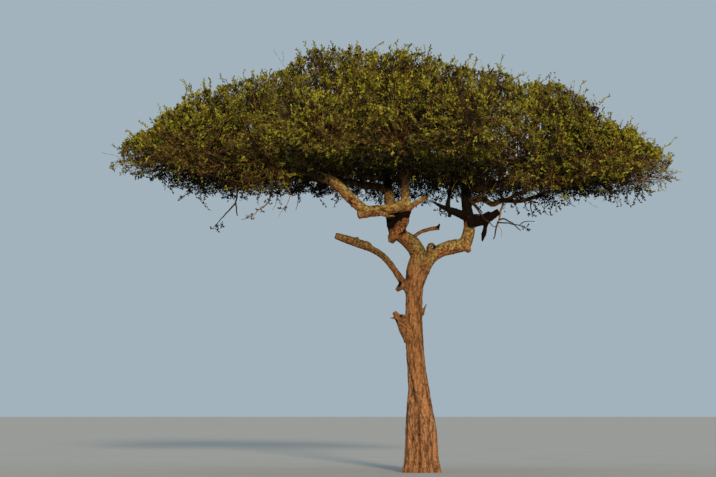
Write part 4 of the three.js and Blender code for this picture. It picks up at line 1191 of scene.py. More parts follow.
# %% Sprigs and tufts at chosen places
TUFTS = [
    (-4.28, -0.83, 5.05), (-4.18, -0.81, 5.12), (-3.36, -0.65, 5.47), (-3.20, -0.61, 5.62),
    (-3.55, -0.70, 5.31), (-3.15, -0.58, 5.78), (-2.88, -0.66, 5.48), (0.38, -0.07, 5.49),
    (0.47, -0.09, 5.42), (0.27, -0.08, 5.66), (0.72, -0.70, 6.07), (0.83, -0.66, 6.20),
    (0.66, -0.74, 5.92), (0.95, -0.69, 6.05), (0.99, -0.71, 5.93), (0.78, -0.68, 6.14),
    (2.92, -1.24, 5.66), (3.78, -0.95, 5.82), (2.33, -0.06, 5.40), (2.20, -0.20, 5.12),
]

STANDING_SPRIGS = [  # foot and tip, each across and up, and whether it has leaves
    (-6.34, 6.60, -6.72, 6.70, 0), (-6.24, 6.76, -6.49, 6.85, 1), (-6.03, 7.06, -6.22, 7.20, 1),
    (-5.75, 7.23, -5.92, 7.37, 1), (-5.23, 7.50, -5.40, 7.67, 1), (-4.85, 7.98, -5.04, 8.25, 1),
    (-4.79, 7.98, -4.89, 8.15, 1), (-4.56, 8.02, -4.58, 8.28, 1), (-4.43, 8.07, -4.45, 8.28, 1),
    (-4.12, 8.15, -4.22, 8.32, 1), (-3.91, 8.15, -3.95, 8.32, 1), (-3.51, 8.23, -3.55, 8.40, 1),
    (-3.25, 8.32, -3.34, 8.44, 1), (-2.86, 8.53, -3.13, 8.93, 0), (-2.90, 8.61, -2.90, 8.86, 0),
    (-2.35, 8.74, -2.44, 9.03, 1), (-2.16, 8.78, -2.25, 9.01, 1), (-2.52, 8.66, -2.60, 8.88, 1),
    (-2.02, 8.80, -2.08, 8.98, 1), (-0.66, 8.72, -0.64, 8.98, 1), (-0.30, 8.76, -0.20, 8.96, 1),
    (-0.14, 8.72, -0.02, 8.90, 1), (-1.83, 8.82, -1.89, 9.03, 1),
    (-1.53, 8.82, -1.49, 8.99, 1), (-1.28, 8.82, -1.34, 9.03, 1), (-1.03, 8.86, -0.80, 9.01, 1),
    (-0.52, 8.78, -0.50, 9.05, 1), (-0.38, 8.78, -0.31, 8.97, 1), (-0.21, 8.78, -0.13, 9.03, 0),
    (-0.06, 8.74, -0.08, 8.93, 1), (0.13, 8.70, 0.21, 8.97, 1), (0.42, 8.61, 0.40, 8.74, 1),
    (0.65, 8.57, 0.67, 8.70, 1), (0.88, 8.49, 1.05, 8.74, 1), (1.11, 8.49, 1.18, 8.70, 1),
    (1.43, 8.36, 1.43, 8.57, 1), (1.64, 8.40, 1.72, 8.76, 1), (1.70, 8.36, 1.60, 8.57, 1),
    (1.91, 8.23, 2.18, 8.38, 1), (2.46, 8.15, 2.71, 8.34, 1), (2.58, 8.11, 2.50, 8.30, 1),
    (2.98, 7.98, 2.92, 8.25, 1), (3.23, 7.94, 3.23, 8.28, 0), (3.30, 7.92, 3.44, 8.21, 1),
    (3.40, 7.88, 3.51, 8.04, 1), (3.72, 7.69, 3.95, 7.90, 1), (4.01, 7.35, 4.01, 7.56, 1),
    (4.33, 7.10, 4.45, 7.46, 1), (4.52, 7.06, 4.73, 7.14, 1), (4.81, 6.81, 4.91, 6.97, 1),
    (5.04, 6.72, 5.38, 7.04, 1), (5.19, 6.49, 5.31, 6.66, 1), (4.81, 6.18, 5.33, 6.15, 1),
    (4.70, 5.92, 4.89, 5.88, 1),
]
HANGING_SPRIGS = [
    (3.69, 5.94, 3.81, 5.65, 1), (3.81, 5.90, 3.96, 5.59, 1), (4.00, 5.86, 4.19, 5.57, 1),
    (4.27, 5.86, 4.27, 5.59, 1), (4.40, 5.86, 4.52, 5.61, 1), (4.52, 5.86, 4.64, 5.65, 1),
    (4.02, 5.94, 3.94, 5.74, 1), (4.62, 5.94, 4.77, 5.78, 1), (1.93, 5.65, 2.01, 5.40, 1),
    (2.12, 5.69, 2.18, 5.44, 1), (2.30, 5.65, 2.47, 5.38, 1), (2.55, 5.69, 2.55, 5.40, 1),
    (2.66, 5.65, 2.72, 5.34, 1), (2.78, 5.69, 2.91, 5.46, 1), (2.97, 5.71, 3.11, 5.59, 1),
    (3.09, 5.75, 3.22, 5.63, 1), (-4.45, 5.80, -4.52, 5.61, 1), (-2.60, 5.84, -2.52, 5.63, 1),
    (4.50, 5.82, 4.38, 5.53, 1), (4.15, 5.84, 4.35, 5.55, 1), (3.90, 5.90, 4.08, 5.53, 1),
    (3.38, 5.69, 3.69, 5.51, 0), (2.72, 5.69, 2.80, 5.40, 1), (2.88, 5.67, 3.05, 5.55, 1),
    (2.45, 5.59, 2.61, 5.36, 1), (2.20, 5.69, 2.37, 5.47, 1), (3.28, 5.86, 3.40, 5.72, 1),
    (3.69, 5.90, 3.75, 5.72, 1), (-4.70, 5.76, -4.43, 5.47, 1), (-4.91, 5.80, -5.03, 5.69, 1),
    (-4.00, 5.90, -3.91, 5.67, 1), (-3.31, 5.86, -3.40, 5.59, 1), (-3.02, 5.84, -2.94, 5.59, 1),
    (-2.19, 5.78, -2.01, 5.53, 1), (-1.74, 5.80, -1.82, 5.51, 1), (-1.53, 5.78, -1.45, 5.59, 1),
    (-3.69, 5.90, -3.75, 5.72, 1), (-5.26, 5.96, -5.18, 5.84, 1), (2.03, 5.72, 1.91, 5.53, 1),
    (0.50, 5.86, 0.38, 5.59, 1),
]
print("sprigs", len(STANDING_SPRIGS) + len(HANGING_SPRIGS), "tufts", len(TUFTS))

# %% Young shoots on the outline
STANDING_DEPTH, HANGING_DEPTH, DEPTH_SPREAD, SPRIG_LEAN = 0.0, -0.6, 0.5, 0.05
SPRIG_PARTS, SPRIG_IDS, CROOK_SIZE, EARLY_BEND, LATE_BEND = 3, 10, 0.02, 0.9, 0.1
SHOOTS, SHOOT_IDS, FIRST_TURN, SHOOT_SPREAD, HIGHEST_SHOOT = 64, 100, 2, 0.2, 9.1
PAST_SPACE, LOWEST_UPPER, HIGHEST_LOWER, SHOOT_FOOT = 0.12, -0.15, -0.2, 0.88
UPPER_LIFT, LOWER_LIFT, RISE_SPREAD, LOWER_SIZE = 0.9, -0.25, 0.5, 0.75
SIZE_BY_REACH, LEAST_SHOOT, SHOOT_VARIES = 0.10, 0.03, 0.17
SHOOT_BEND, SHOOT_END = 0.55, 0.75
TUFT_SHOOTS, TUFT_TURN, TUFT_SIZE, TUFT_BEND = 3, 1.0, (0.08, 0.04, 0.06), 0.3
SHOOT_POINTS, SHOOT_RADIUS, SHOOT_TAPER = 5, 0.0042, (1.2, 0.8)

shoot, bare = {}, {}
for depth, sprigs in ((STANDING_DEPTH, STANDING_SPRIGS), (HANGING_DEPTH, HANGING_SPRIGS)):
    for number, (x, z, tip_x, tip_z, has_leaves) in enumerate(sprigs):
        y = depth + DEPTH_SPREAD * (float(scatter(number, SPRIG_PLACE)) - 0.5)
        foot, tip = np.array([x, y, z]), np.array([tip_x, y - SPRIG_LEAN, tip_z])
        steps = foot + (tip - foot) * np.linspace(0, 1, SPRIG_PARTS + 1)[:, None]
        ids = number * SPRIG_IDS + np.arange(SPRIG_PARTS - 1)
        steps[1:-1] += CROOK_SIZE * scatter_vectors(ids, SPRIG_CROOK)
        collect(shoot if has_leaves else bare, start=steps[:-1],
                bend=steps[:-1] * EARLY_BEND + steps[1:] * LATE_BEND, tip=steps[1:])
for mass in MASSES:
    ids = mass["item"] * SHOOT_IDS + np.arange(SHOOTS)
    ways = unit(ball_directions(SHOOTS, FIRST_TURN + mass["item"])
                + SHOOT_SPREAD * scatter_vectors(ids, SHOOT_AIM))
    free = reach(mass, ways)
    past = mass["middle"] + ways * (free + PAST_SPACE)[:, None]
    out = outwards(past[:, 0], past[:, 1])
    fall = fall_of(past, mass["middle"])
    upper = (out > 1) | (past[:, 2] > top_of(out) + mass["crest"] - fall) | ~under_skyline(past)
    upper &= ways[:, 2] > LOWEST_UPPER
    lower = (past[:, 2] < under_of(out) - mass["sag"] + fall / 2) & (ways[:, 2] < HIGHEST_LOWER)
    start = mass["middle"] + ways * (free * SHOOT_FOOT)[:, None]
    lift = np.where(upper, UPPER_LIFT, LOWER_LIFT)[:, None] * np.array([0, 0, 1])
    rise = unit(ways + lift + RISE_SPREAD * scatter_vectors(ids, SHOOT_RISE))
    size = free * SIZE_BY_REACH + LEAST_SHOOT + SHOOT_VARIES * scatter(ids, SHOOT_SIZE) ** 2
    size = size[:, None] * np.where(upper, 1, LOWER_SIZE)[:, None]
    bend = start + ways * size * SHOOT_BEND
    tip = bend + rise * size * SHOOT_END
    chosen = (upper | lower) & (start[:, 2] + size[:, 0] < HIGHEST_SHOOT)
    collect(shoot, start=start[chosen], bend=bend[chosen], tip=tip[chosen])
for place in TUFTS:
    aims = ball_directions(TUFT_SHOOTS, TUFT_TURN) * TUFT_SIZE
    middle = np.array(place)
    collect(shoot, start=middle + 0 * aims, bend=middle + TUFT_BEND * aims, tip=middle + aims)
shoot, bare = put_together(shoot), put_together(bare)
curves = [np.vstack([shoot[key], bare[key]]) for key in ("start", "bend", "tip")]
shoot_lines = curve_points(*curves, SHOOT_POINTS)
shoot_radii = np.full((len(shoot_lines), SHOOT_POINTS), SHOOT_RADIUS)
shoot_radii *= np.linspace(*SHOOT_TAPER, SHOOT_POINTS)[None]
print("young shoots", len(shoot["tip"]), "bare", len(bare["tip"]))

# %% [markdown]
# All twigs of a level share one shape, so they are built together. Thick branches get five sides,
# side twigs and sprays three, which is enough at their size. Those in the shade under the crown
# make pieces of their own, because their bark is painted nearly black as shade.

# %% Build the twigs
THICK_SIDES, THIN_SIDES, MEAN_LOT = 5, 3, 0.35
SHELTER_FRONT, LOW_SHOOT, LOW_SHOOT_SPREAD = -0.9, 5.9, 0.35


def twig_pieces(name, sets, shaded, sides):
    """One piece of the twigs in the light and one of those in the shade."""
    made = []
    for suffix, want in (("lit", False), ("shaded", True)):
        vertices, triangles, shift = [], [], 0
        for (lines, radii), flags in zip(sets, shaded):
            corners, faces = tubes(lines[flags == want], radii[flags == want], sides)
            vertices.append(corners)
            triangles.append(faces + shift)
            shift += len(corners)
        piece = mesh_piece(name + "_" + suffix, np.vstack(vertices), np.vstack(triangles), smooth=True)
        print(piece.name, len(piece.data.polygons), "triangles")
        made.append(piece)
    return made


branch_pieces = twig_pieces("branches", [(branch_lines, branch_radii)],
                            [in_shade(branches["tip"], MEAN_LOT)], THICK_SIDES)
side_pieces = twig_pieces("side_twigs", [(twig_lines, twig_radii)],
                          [in_shade(twigs["tip"], MEAN_LOT)], THIN_SIDES)
shoot_ends = shoot_lines[:, -1]
hanging_low = (shoot_ends[:, 2] < LOW_SHOOT) & (np.abs(shoot_ends[:, 1] - HANGING_DEPTH) < LOW_SHOOT_SPREAD)
painted_shade_shoots = in_shade(shoot_ends, MEAN_LOT) & (shoot_ends[:, 1] > SHELTER_FRONT) | hanging_low
fine_pieces = twig_pieces("sprays", [(spray_lines, spray_radii), (shoot_lines, shoot_radii)],
                          [painted_shade_sprays, painted_shade_shoots], THIN_SIDES)
lit_twigs, shaded_twigs = zip(branch_pieces, side_pieces, fine_pieces)

# %% [markdown]
# A leaf of this tree is small and stiff, and broadest at its middle, with a blunt end. Five
# points give its outline, a little cupped: three triangles. The leaves stand close round a spray,
# each turned about its own stalk by chance, so that some catch the light and others lie dark.

# %% Leaves on the sprays
LEAVES_PER_SPRAY, LEAVES_FROM, LEAVES_PER_SHOOT, SHOOT_LEAVES_FROM = 8, 0.15, 6, 0.0
LEAF_LENGTH, LEAF_WIDTH, LEAF_FOLD, LEAST_LEAF, LEAF_SPREAD = 0.058, 0.031, 0.22, 0.72, 0.5
LEAF_SHAPE = [(0, 0), (0.48, 0.50), (0.96, 0.20), (0.96, -0.20), (0.48, -0.50)]
LEAF_HINT = np.array([0.21, 0.13, 0.97])  # crossed with a leaf's heading, it gives a side
LEAF_PLACE_SPREAD, LEAF_IDS = 0.5, 131
LEAF_ALONG, LEAF_ASIDE, LEAF_UP = 0.75, 0.9, np.array([0, 0, 0.25])


def leaf_points(root, heading, turn, length, width):
    """The five points of each leaf: its foot, two on one edge, two on the other edge."""
    side = unit(np.cross(heading, LEAF_HINT))
    face = np.cross(heading, side)
    across = side * np.cos(turn)[:, None] + face * np.sin(turn)[:, None]
    up = np.cross(across, heading)
    points = [
        root + heading * (a * length)[:, None] + across * (w * width)[:, None]
        + up * (abs(w) * LEAF_FOLD * width)[:, None]
        for a, w in LEAF_SHAPE
    ]
    return np.stack(points, axis=1)


def dress(lines, per_line, first_share, trait):
    """Leaves along two-ended lines, with the number of the line that each stands on."""
    start, tip = lines
    count = len(tip)
    owner = np.repeat(np.arange(count), per_line)
    order = np.tile(np.arange(per_line), count)
    ids = np.arange(count * per_line) + trait * LEAF_IDS
    place = order + LEAF_PLACE_SPREAD * scatter(ids, trait)
    share = first_share + (1 - first_share) * place / (per_line - LEAF_PLACE_SPREAD)
    root = start[owner] + (tip - start)[owner] * share[:, None]
    way = unit(tip - start)[owner]
    aside = unit(scatter_vectors(ids, trait + 1))
    heading = unit(way * LEAF_ALONG + aside * LEAF_ASIDE + LEAF_UP)
    size = LEAST_LEAF + LEAF_SPREAD * scatter(ids, trait + 4)
    turn = scatter(ids, trait + 5) * math.pi
    return leaf_points(root, heading, turn, LEAF_LENGTH * size, LEAF_WIDTH * size), owner


leafy_sprays = (sprays["start"][leafy], sprays["tip"][leafy])
spray_leaves, spray_owner = dress(leafy_sprays, LEAVES_PER_SPRAY, LEAVES_FROM, SPRAY_LEAF_TRAITS)
leafy_shoots = (shoot["bend"], shoot["tip"])
shoot_leaves, shoot_owner = dress(leafy_shoots, LEAVES_PER_SHOOT, SHOOT_LEAVES_FROM, SHOOT_LEAF_TRAITS)
print("leaves", len(spray_leaves) + len(shoot_leaves))

# %% [markdown]
# No single green makes a tree. Young sprays are yellow-green, old ones deep olive, and some are
# drying to brown. The shade tint is painted shade: it goes to the leaves under the crown, in the
# dark hollows and, at random, to a share of sprays as dark gaps. The other tints are also painted
# lighter towards the sunny right and on the upper middle, and darker lower down and in the hollows.
# Each spray is dealt one of five tints, with patches where one tint prevails, and its leaves go
# into the pieces of that tint. Plain colours on real leaf shapes look better at this distance than
# a pattern, because light and shade among the leaves do the rest.

# %% Deal the tints
TINTS = ["fresh", "green", "olive", "dry", "shade"]
SPRAY_TINT_EDGES, SHOOT_TINT_EDGES = [0.26, 0.64, 1.02], [0.35, 0.75, 1.1]
PATCH_FINENESS, LUMP_FINENESS, LOW_HEIGHT, LOW_WEIGHT, LOW_SUNWARD = 1.1, 3.4, 1.1, 0.45, 0.40
CROWN_DEPTH, CROWN_RIM_SHARE, SUNWARD_FROM, SUNWARD_RUN = 0.45, 0.7, 1.0, 3
UPPER_X, UPPER_HALF, UPPER_FROM = -0.4, 1.6, 0.9
DIM_EDGE, DIM_LOT, DIM_CHANCE, DIM_IN_HOLLOWS = -0.24, 0.20, 0.11, 0.36
LEAF_FACES = np.array([(0, 1, 2), (0, 2, 3), (0, 3, 4)])
LEAVES_PER_PIECE = 64000

leafy_tips, leafy_lot, leafy_height = tips[leafy], lot[leafy], height_above[leafy]
hollow = hollowness(leafy_tips)
patch = np.array([noise.noise(Vector(p) * PATCH_FINENESS) for p in leafy_tips])
lump = np.array([noise.noise(Vector(p) * LUMP_FINENESS) for p in leafy_tips])
sunward = np.clip((leafy_tips[:, 0] - SUNWARD_FROM) / SUNWARD_RUN, 0, 1)
low_down = np.clip(1 - leafy_height / LOW_HEIGHT, 0, 1) * (LOW_WEIGHT - LOW_SUNWARD * sunward)
crowned = np.clip(1 - within[leafy] / CROWN_DEPTH, 0, 1) * (spray_out[leafy] < CROWN_RIM_SHARE)
upper_middle = np.clip(UPPER_HALF - np.abs(leafy_tips[:, 0] - UPPER_X), 0, 1)
upper_middle *= np.clip(leafy_height - UPPER_FROM, 0, 1)
# Painted light and shade in the tints: lighter towards the sunny right and on the upper middle, darker lower
# down and in the dark hollows.
age_and_painted_light = leafy_lot
for weight, cause in ((0.22, hollow), (0.50, patch), (0.45, lump), (1, low_down), (0.22, crowned),
                      (-0.20, sunward), (-0.18, upper_middle)):
    age_and_painted_light = age_and_painted_light + weight * cause
tint_of_spray = np.digitize(age_and_painted_light, SPRAY_TINT_EDGES)
# Painted shade: sprays where the slow noise is thin, in the dark hollows, and a share at random get the
# shade tint.
painted_shade_gaps = hollows[leafy] + DIM_LOT * leafy_lot < DIM_EDGE
painted_shade_gaps |= scatter(spray_ids[leafy], SPRAY_DIM) < DIM_CHANCE + DIM_IN_HOLLOWS * hollow
tint_of_spray[painted_shade_sprays[leafy] | painted_shade_gaps] = TINTS.index("shade")
tint_of_shoot = np.digitize(scatter(np.arange(len(shoot["tip"])), SHOOT_TINT), SHOOT_TINT_EDGES)
tint_of_shoot[painted_shade_shoots[:len(shoot["tip"])]] = TINTS.index("shade")
outlines = np.vstack([spray_leaves, shoot_leaves])
tint = np.concatenate([tint_of_spray[spray_owner], tint_of_shoot[shoot_owner]])
leaf_pieces = []
for number, name in enumerate(TINTS):
    mine = outlines[tint == number]
    parts = max(1, math.ceil(len(mine) / LEAVES_PER_PIECE))
    for part, chunk in enumerate(np.array_split(mine, parts)):
        first_points = np.arange(len(chunk)) * len(LEAF_SHAPE)
        faces = (LEAF_FACES[None] + first_points[:, None, None]).reshape(-1, 3)
        piece = mesh_piece("leaves_%s_%d" % (name, part + 1), chunk.reshape(-1, 3), faces)
        leaf_pieces.append((name, piece))
        print(piece.name, len(faces), "triangles")

# %% [markdown]
# The finishes are node materials. Every pattern is read in the object's own coordinates through a
# Mapping node, which sets its size, so it stays on the wood when the camera moves. A small helper
# adds nodes and links them, to keep each material short to read. A Mix node has sockets for every
# kind of value, so those for colours are found by their number.

# %% A helper for node materials
MIX_FACTOR, MIX_FIRST, MIX_SECOND, MIX_COLOUR = 0, 6, 7, 2


class Finish:
    def __init__(self, name, roughness, shine=0.0):
        self.material = bpy.data.materials.new(name)
        self.material.use_nodes = True
        self.nodes = self.material.node_tree.nodes
        self.shader = self.nodes["Principled BSDF"]
        self.shader.inputs["Roughness"].default_value = roughness
        self.shader.inputs["Specular IOR Level"].default_value = shine
        self.place = self.nodes.new("ShaderNodeTexCoord").outputs["Object"]

    def link(self, output, target):
        self.material.node_tree.links.new(output, target)

    def mapped(self, size):
        mapping = self.nodes.new("ShaderNodeMapping")
        mapping.inputs["Scale"].default_value = size
        self.link(self.place, mapping.inputs["Vector"])
        return mapping.outputs["Vector"]

    def noise(self, size, scale, detail, rough):
        node = self.nodes.new("ShaderNodeTexNoise")
        node.inputs["Scale"].default_value = scale
        node.inputs["Detail"].default_value = detail
        node.inputs["Roughness"].default_value = rough
        self.link(self.mapped(size), node.inputs["Vector"])
        return node.outputs["Fac"]

    def ramp(self, value, stops):
        node = self.nodes.new("ShaderNodeValToRGB")
        elements = node.color_ramp.elements
        while len(elements) < len(stops):
            elements.new(0.5)
        for element, (place, colour) in zip(elements, stops):
            element.position = place
            element.color = (*colour, 1) if isinstance(colour, tuple) else (colour, colour, colour, 1)
        self.link(value, node.inputs["Fac"])
        return node.outputs["Color"]

    def mix(self, fac, a, b, blend="MIX"):
        node = self.nodes.new("ShaderNodeMix")
        node.data_type = "RGBA"
        node.blend_type = blend
        for value, number in ((fac, MIX_FACTOR), (a, MIX_FIRST), (b, MIX_SECOND)):
            socket = node.inputs[number]
            if isinstance(value, bpy.types.NodeSocket):
                self.link(value, socket)
            elif isinstance(value, tuple):
                socket.default_value = (*value, 1)
            else:
                socket.default_value = value
        return node.outputs[MIX_COLOUR]

    def attribute(self, name):
        node = self.nodes.new("ShaderNodeAttribute")
        node.attribute_name = name
        return node.outputs["Fac"]

    def height_share(self, low, high):
        split = self.nodes.new("ShaderNodeSeparateXYZ")
        self.link(self.place, split.inputs[0])
        node = self.nodes.new("ShaderNodeMapRange")
        node.inputs["From Min"].default_value = low
        node.inputs["From Max"].default_value = high
        self.link(split.outputs["Z"], node.inputs["Value"])
        return node.outputs["Result"]

    def bump(self, height, strength, distance):
        node = self.nodes.new("ShaderNodeBump")
        node.inputs["Strength"].default_value = strength
        node.inputs["Distance"].default_value = distance
        self.link(height, node.inputs["Height"])
        self.link(node.outputs["Normal"], self.shader.inputs["Normal"])

    def colour(self, output):
        self.link(output, self.shader.inputs["Base Color"])

    def put_on(self, pieces):
        for piece in pieces:
            piece.data.materials.clear()
            piece.data.materials.append(self.material)


# %% [markdown]
# The bark changes from the ground up. At the foot it is reddish brown, rubbed and dusty, with dark
# furrows. Towards the fork it turns orange-brown, and the limbs above are golden, redder on their
# undersides, with pale yellow lichen on top; the golden tops and sunny sides are partly painted
# light, the redder undersides partly painted shade. One material does it all: colours mixed by
# height and by the values stored on the mesh, darkened where the carved furrows are deep, partly as
# painted shade, and nearly black where painted shade and shadow are stored.

# %% Bark
EVEN = (1, 1, 1)
LOW_CHANGE, HIGH_CHANGE, PATCHINESS = (1.2, 2.6), (4.0, 4.8), 0.35  # heights where the bark changes

bark = Finish("bark", roughness=0.92, shine=0.08)
flakes = bark.noise((2.2, 2.2, 1), scale=19, detail=8, rough=0.75)
patches = bark.noise((1, 1, 0.7), scale=3.0, detail=5, rough=0.6)
low_bark = bark.ramp(flakes, [(0.32, (0.110, 0.048, 0.020)), (0.47, (0.226, 0.104, 0.044)),
                              (0.58, (0.322, 0.161, 0.074)), (0.72, (0.452, 0.262, 0.138))])
low_pale = bark.ramp(flakes, [(0.32, (0.146, 0.068, 0.031)), (0.47, (0.292, 0.141, 0.067)),
                              (0.58, (0.410, 0.213, 0.106)), (0.72, (0.580, 0.350, 0.196))])
streaks = bark.noise((3.2, 3.2, 0.30), scale=2.0, detail=3, rough=0.5)
low_bark = bark.mix(bark.ramp(streaks, [(0.44, 0.0), (0.62, 1.0)]), low_bark, low_pale)
mid_bark = bark.ramp(flakes, [(0.32, (0.094, 0.040, 0.016)), (0.47, (0.197, 0.090, 0.036)),
                              (0.58, (0.277, 0.137, 0.056)), (0.72, (0.380, 0.218, 0.105))])
spots = bark.noise(EVEN, scale=24, detail=6, rough=0.72)
gold = bark.ramp(spots, [(0.38, (0.046, 0.026, 0.010)), (0.47, (0.178, 0.112, 0.037)),
                         (0.57, (0.290, 0.202, 0.067)), (0.68, (0.420, 0.335, 0.145))])
rust = bark.ramp(spots, [(0.38, (0.050, 0.021, 0.009)), (0.49, (0.190, 0.078, 0.028)),
                         (0.63, (0.310, 0.146, 0.054))])
lichen_and_painted_light = bark.attribute("lichen_and_painted_light")
# Gold on the upper and sunny sides is partly painted light, rust beneath partly painted shade.
high_bark = bark.mix(bark.ramp(lichen_and_painted_light, [(0.25, 0.0), (0.55, 1.0)]), rust, gold)
pale = bark.ramp(spots, [(0.45, (0.255, 0.203, 0.073)), (0.62, (0.450, 0.405, 0.175))])
dots = bark.ramp(bark.noise(EVEN, scale=13, detail=5, rough=0.7), [(0.46, 0.0), (0.56, 1.0)])
specks = bark.mix(1.0, bark.ramp(lichen_and_painted_light, [(0.70, 0.0), (1.0, 0.9)]), dots, "MULTIPLY")
high_bark = bark.mix(specks, high_bark, pale)
colour = bark.mix(bark.height_share(*LOW_CHANGE), low_bark, mid_bark)
high = bark.mix(PATCHINESS, bark.height_share(*HIGH_CHANGE), patches)
colour = bark.mix(bark.ramp(high, [(0.30, 0.0), (0.62, 1.0)]), colour, high_bark)
# Darker in the deep furrows, partly painted shade and partly the bark's own colour.
depth = bark.ramp(bark.attribute("furrow"), [(0.30, 1.0), (0.80, 0.36)])
colour = bark.mix(1.0, colour, depth, "MULTIPLY")
# Painted shade and shadow from the mesh, with the duller limbs, turn the colour nearly black.
dull_and_painted_shade_factor = bark.ramp(bark.attribute("dull_tone_and_painted_shade"), [(0.10, 1.0), (0.80, 0.02)])
colour = bark.mix(1.0, colour, dull_and_painted_shade_factor, "MULTIPLY")
bark.colour(colour)
bark.bump(bark.mix(0.5, flakes, spots), strength=0.7, distance=0.012)
bark.put_on([trunk, wood])
print("nodes of the bark", len(bark.nodes))

# %% [markdown]
# Boughs in the crown are thinner than the limbs, and their bark is painted nearly black as shade,
# for they lie in the shade. The dead branches have two copies of one colour: a paler orange-brown,
# painted light, for those the sun reaches, and for the others one painted as dark as the boughs as
# shade. Twigs are orange-brown where the sun reaches them and painted nearly black in the shade,
# and the lit twig colour carries a small painted sheen. A fine noise breaks up each colour, because
# no twig is of one tone.

# %% Bough and twig bark
DRAWN_OUT = (1, 1, 0.6)


def mottled(name, size, scale, stops, pieces):
    finish = Finish(name, roughness=0.95)
    mottle = finish.noise(size, scale, detail=5, rough=0.65)
    finish.colour(finish.ramp(mottle, stops))
    finish.bump(mottle, strength=0.5, distance=0.008)
    finish.put_on(pieces)


# Painted shade: the boughs' bark is nearly black.
mottled("shaded_bough_bark", EVEN, 14, [(0.32, (0.014, 0.009, 0.005)), (0.52, (0.038, 0.024, 0.011)),
                                 (0.72, (0.115, 0.076, 0.033))], [boughs])
# Two copies of the dead wood's colour: a paler one, painted light, and one painted nearly black as shade.
mottled("lit_dead_bark", DRAWN_OUT, 18, [(0.32, (0.08, 0.040, 0.016)), (0.50, (0.19, 0.098, 0.038)),
                                         (0.70, (0.34, 0.20, 0.09))], [lit_dead_wood])
mottled("shaded_dead_bark", DRAWN_OUT, 18, [(0.32, (0.012, 0.008, 0.005)), (0.52, (0.030, 0.019, 0.010)),
                                     (0.72, (0.080, 0.050, 0.023))], [dead_branches])
# The lit twig colour carries a small painted sheen, and the shaded copy is painted shade.
mottled("twig_bark", EVEN, 11, [(0.38, (0.038, 0.022, 0.011)), (0.62, (0.229, 0.127, 0.044))], lit_twigs)
mottled("shaded_twig_bark", EVEN, 6, [(0.35, (0.018, 0.013, 0.010)), (0.65, (0.057, 0.038, 0.021))],
        shaded_twigs)
print("bark materials", len([m for m in bpy.data.materials if m.name.endswith("bark")]))

# %% [markdown]
# The leaves are dusty and quite matt. Each tint is one base colour, which a noise darkens and
# brightens in places. A shine on so many tiny faces would only show as white specks, so each base
# colour is lifted a little in all three channels instead, as a painted sheen.

# %% Leaf tints
TINT_COLOURS = {
    "fresh": (0.219, 0.216, 0.024),
    "green": (0.153, 0.154, 0.020),
    "olive": (0.085, 0.081, 0.017),
    "dry": (0.095, 0.065, 0.020),
    "shade": (0.016, 0.015, 0.012),
}
DARKEST, BRIGHTEST = 0.5, 1.35

for name, tone in TINT_COLOURS.items():
    finish = Finish("leaf_" + name, roughness=0.6)
    wave = finish.ramp(finish.noise(EVEN, scale=16, detail=1, rough=0.5), [(0.36, 0.0), (0.64, 1.0)])
    finish.colour(finish.mix(wave, tuple(c * DARKEST for c in tone), tuple(c * BRIGHTEST for c in tone)))
    finish.put_on([piece for tint_name, piece in leaf_pieces if tint_name == name])
print("leaf tints", len(TINT_COLOURS))

# %% [markdown]
# Each piece is tied to the frame's root. The trunk and limbs, the boughs and the foliage of the
# construction model are then no longer shown, but they stay as its weight and its collision shape.

# %% Tie the pieces to the frame
BOUGH_NODES = [n for n in WOOD_NODES if n.startswith("bough_")]
HANGING_NODES = [n for n in WOOD_NODES if n.startswith("hanging_")]
LIMB_NODES = [n for n in WOOD_NODES if n not in BOUGH_NODES + HANGING_NODES]
TIES = [
    (trunk, ["trunk", "low_stub"], "bark_low"),
    (wood, [n for n in LIMB_NODES if n != "low_stub"], "bark_high"),
    (boughs, BOUGH_NODES, "bark_high"),
    (dead_branches, HANGING_NODES, "dead_wood"),
    (lit_dead_wood, HANGING_NODES, "dead_wood"),
    *((piece, FOLIAGE_NODES, "foliage") for piece in lit_twigs + shaded_twigs),
    *((piece, FOLIAGE_NODES, "foliage") for _, piece in leaf_pieces),
]

for piece, nodes, slot in TIES:
    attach(piece, "root")
    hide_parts(*nodes)
print("pieces tied to the frame", len(TIES))

# %% [markdown]
# The stage is a pale floor that runs far back, and a soft pale sky. The sky lights the tree a little
# less than it shows itself, which keeps the shade under the crown deep. The key light is low, warm
# and broad, from behind the viewer and a little to the right, so the trunk's right side is bright.
# The camera stands at eye height, far off with a long lens, which keeps the crown's underside flat.

# %% Floor, light and camera
FLOOR_RADIUS, FLOOR_SIDES = 900, 96
SKY_GLOW, SKY_SEEN = (0.240, 0.295, 0.335), (0.366, 0.451, 0.509)
SUN_STRENGTH, SUN_WIDTH, SUN_COLOUR = 4.6, math.radians(4), (1.0, 0.80, 0.55)
LENS, SENSOR_WIDTH, FARTHEST_SEEN, AIM_HEIGHT = 143.9, 36, 1000, 4.9

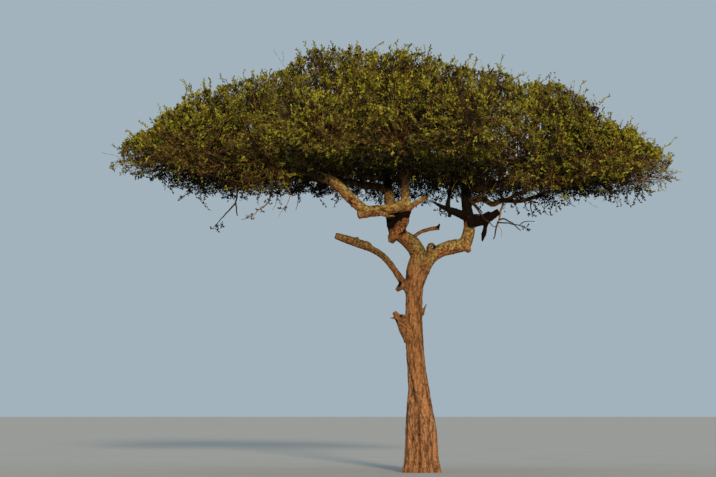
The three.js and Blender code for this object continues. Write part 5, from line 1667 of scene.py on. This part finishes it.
bpy.ops.mesh.primitive_circle_add(
    vertices=FLOOR_SIDES, radius=FLOOR_RADIUS, fill_type="NGON", location=(0, 0, 0)
)
floor = bpy.context.object
floor.name = "floor"
floor_finish = Finish("pale_floor", roughness=0.9, shine=0.2)
dust = floor_finish.noise(EVEN, scale=0.4, detail=3, rough=0.5)
floor_finish.colour(floor_finish.ramp(dust, [(0.3, (0.72, 0.71, 0.68)), (0.7, (0.77, 0.76, 0.73))]))
floor_finish.put_on([floor])
floor.select_set(False)

world = bpy.data.worlds.new("soft_sky")
bpy.context.scene.world = world
world.use_nodes = True
glow = world.node_tree.nodes["Background"]
glow.inputs["Color"].default_value = (*SKY_GLOW, 1)
backdrop = world.node_tree.nodes.new("ShaderNodeBackground")
backdrop.inputs["Color"].default_value = (*SKY_SEEN, 1)
light_path = world.node_tree.nodes.new("ShaderNodeLightPath")
either = world.node_tree.nodes.new("ShaderNodeMixShader")
world.node_tree.links.new(light_path.outputs["Is Camera Ray"], either.inputs[0])
world.node_tree.links.new(glow.outputs[0], either.inputs[1])
world.node_tree.links.new(backdrop.outputs[0], either.inputs[2])
world.node_tree.links.new(either.outputs[0], world.node_tree.nodes["World Output"].inputs["Surface"])
bpy.context.scene.view_settings.view_transform = "Standard"

key_data = bpy.data.lights.new("key", "SUN")
key_data.energy = SUN_STRENGTH
key_data.angle = SUN_WIDTH
key_data.color = SUN_COLOUR
key = bpy.data.objects.new("key", key_data)
key.rotation_euler = Vector(SUN_WAY).to_track_quat("-Z", "Y").to_euler()
bpy.context.collection.objects.link(key)

camera_data = bpy.data.cameras.new("camera")
camera_data.lens = LENS
camera_data.sensor_width = SENSOR_WIDTH
camera_data.clip_end = FARTHEST_SEEN
camera = bpy.data.objects.new("camera", camera_data)
camera.location = (EYE_X, -EYE_DISTANCE, EYE_HEIGHT)
aim = Vector((EYE_X, 0, AIM_HEIGHT)) - camera.location
camera.rotation_euler = aim.to_track_quat("-Z", "Y").to_euler()
bpy.context.collection.objects.link(camera)
bpy.context.scene.camera = camera
print("camera", EYE_DISTANCE, "m away")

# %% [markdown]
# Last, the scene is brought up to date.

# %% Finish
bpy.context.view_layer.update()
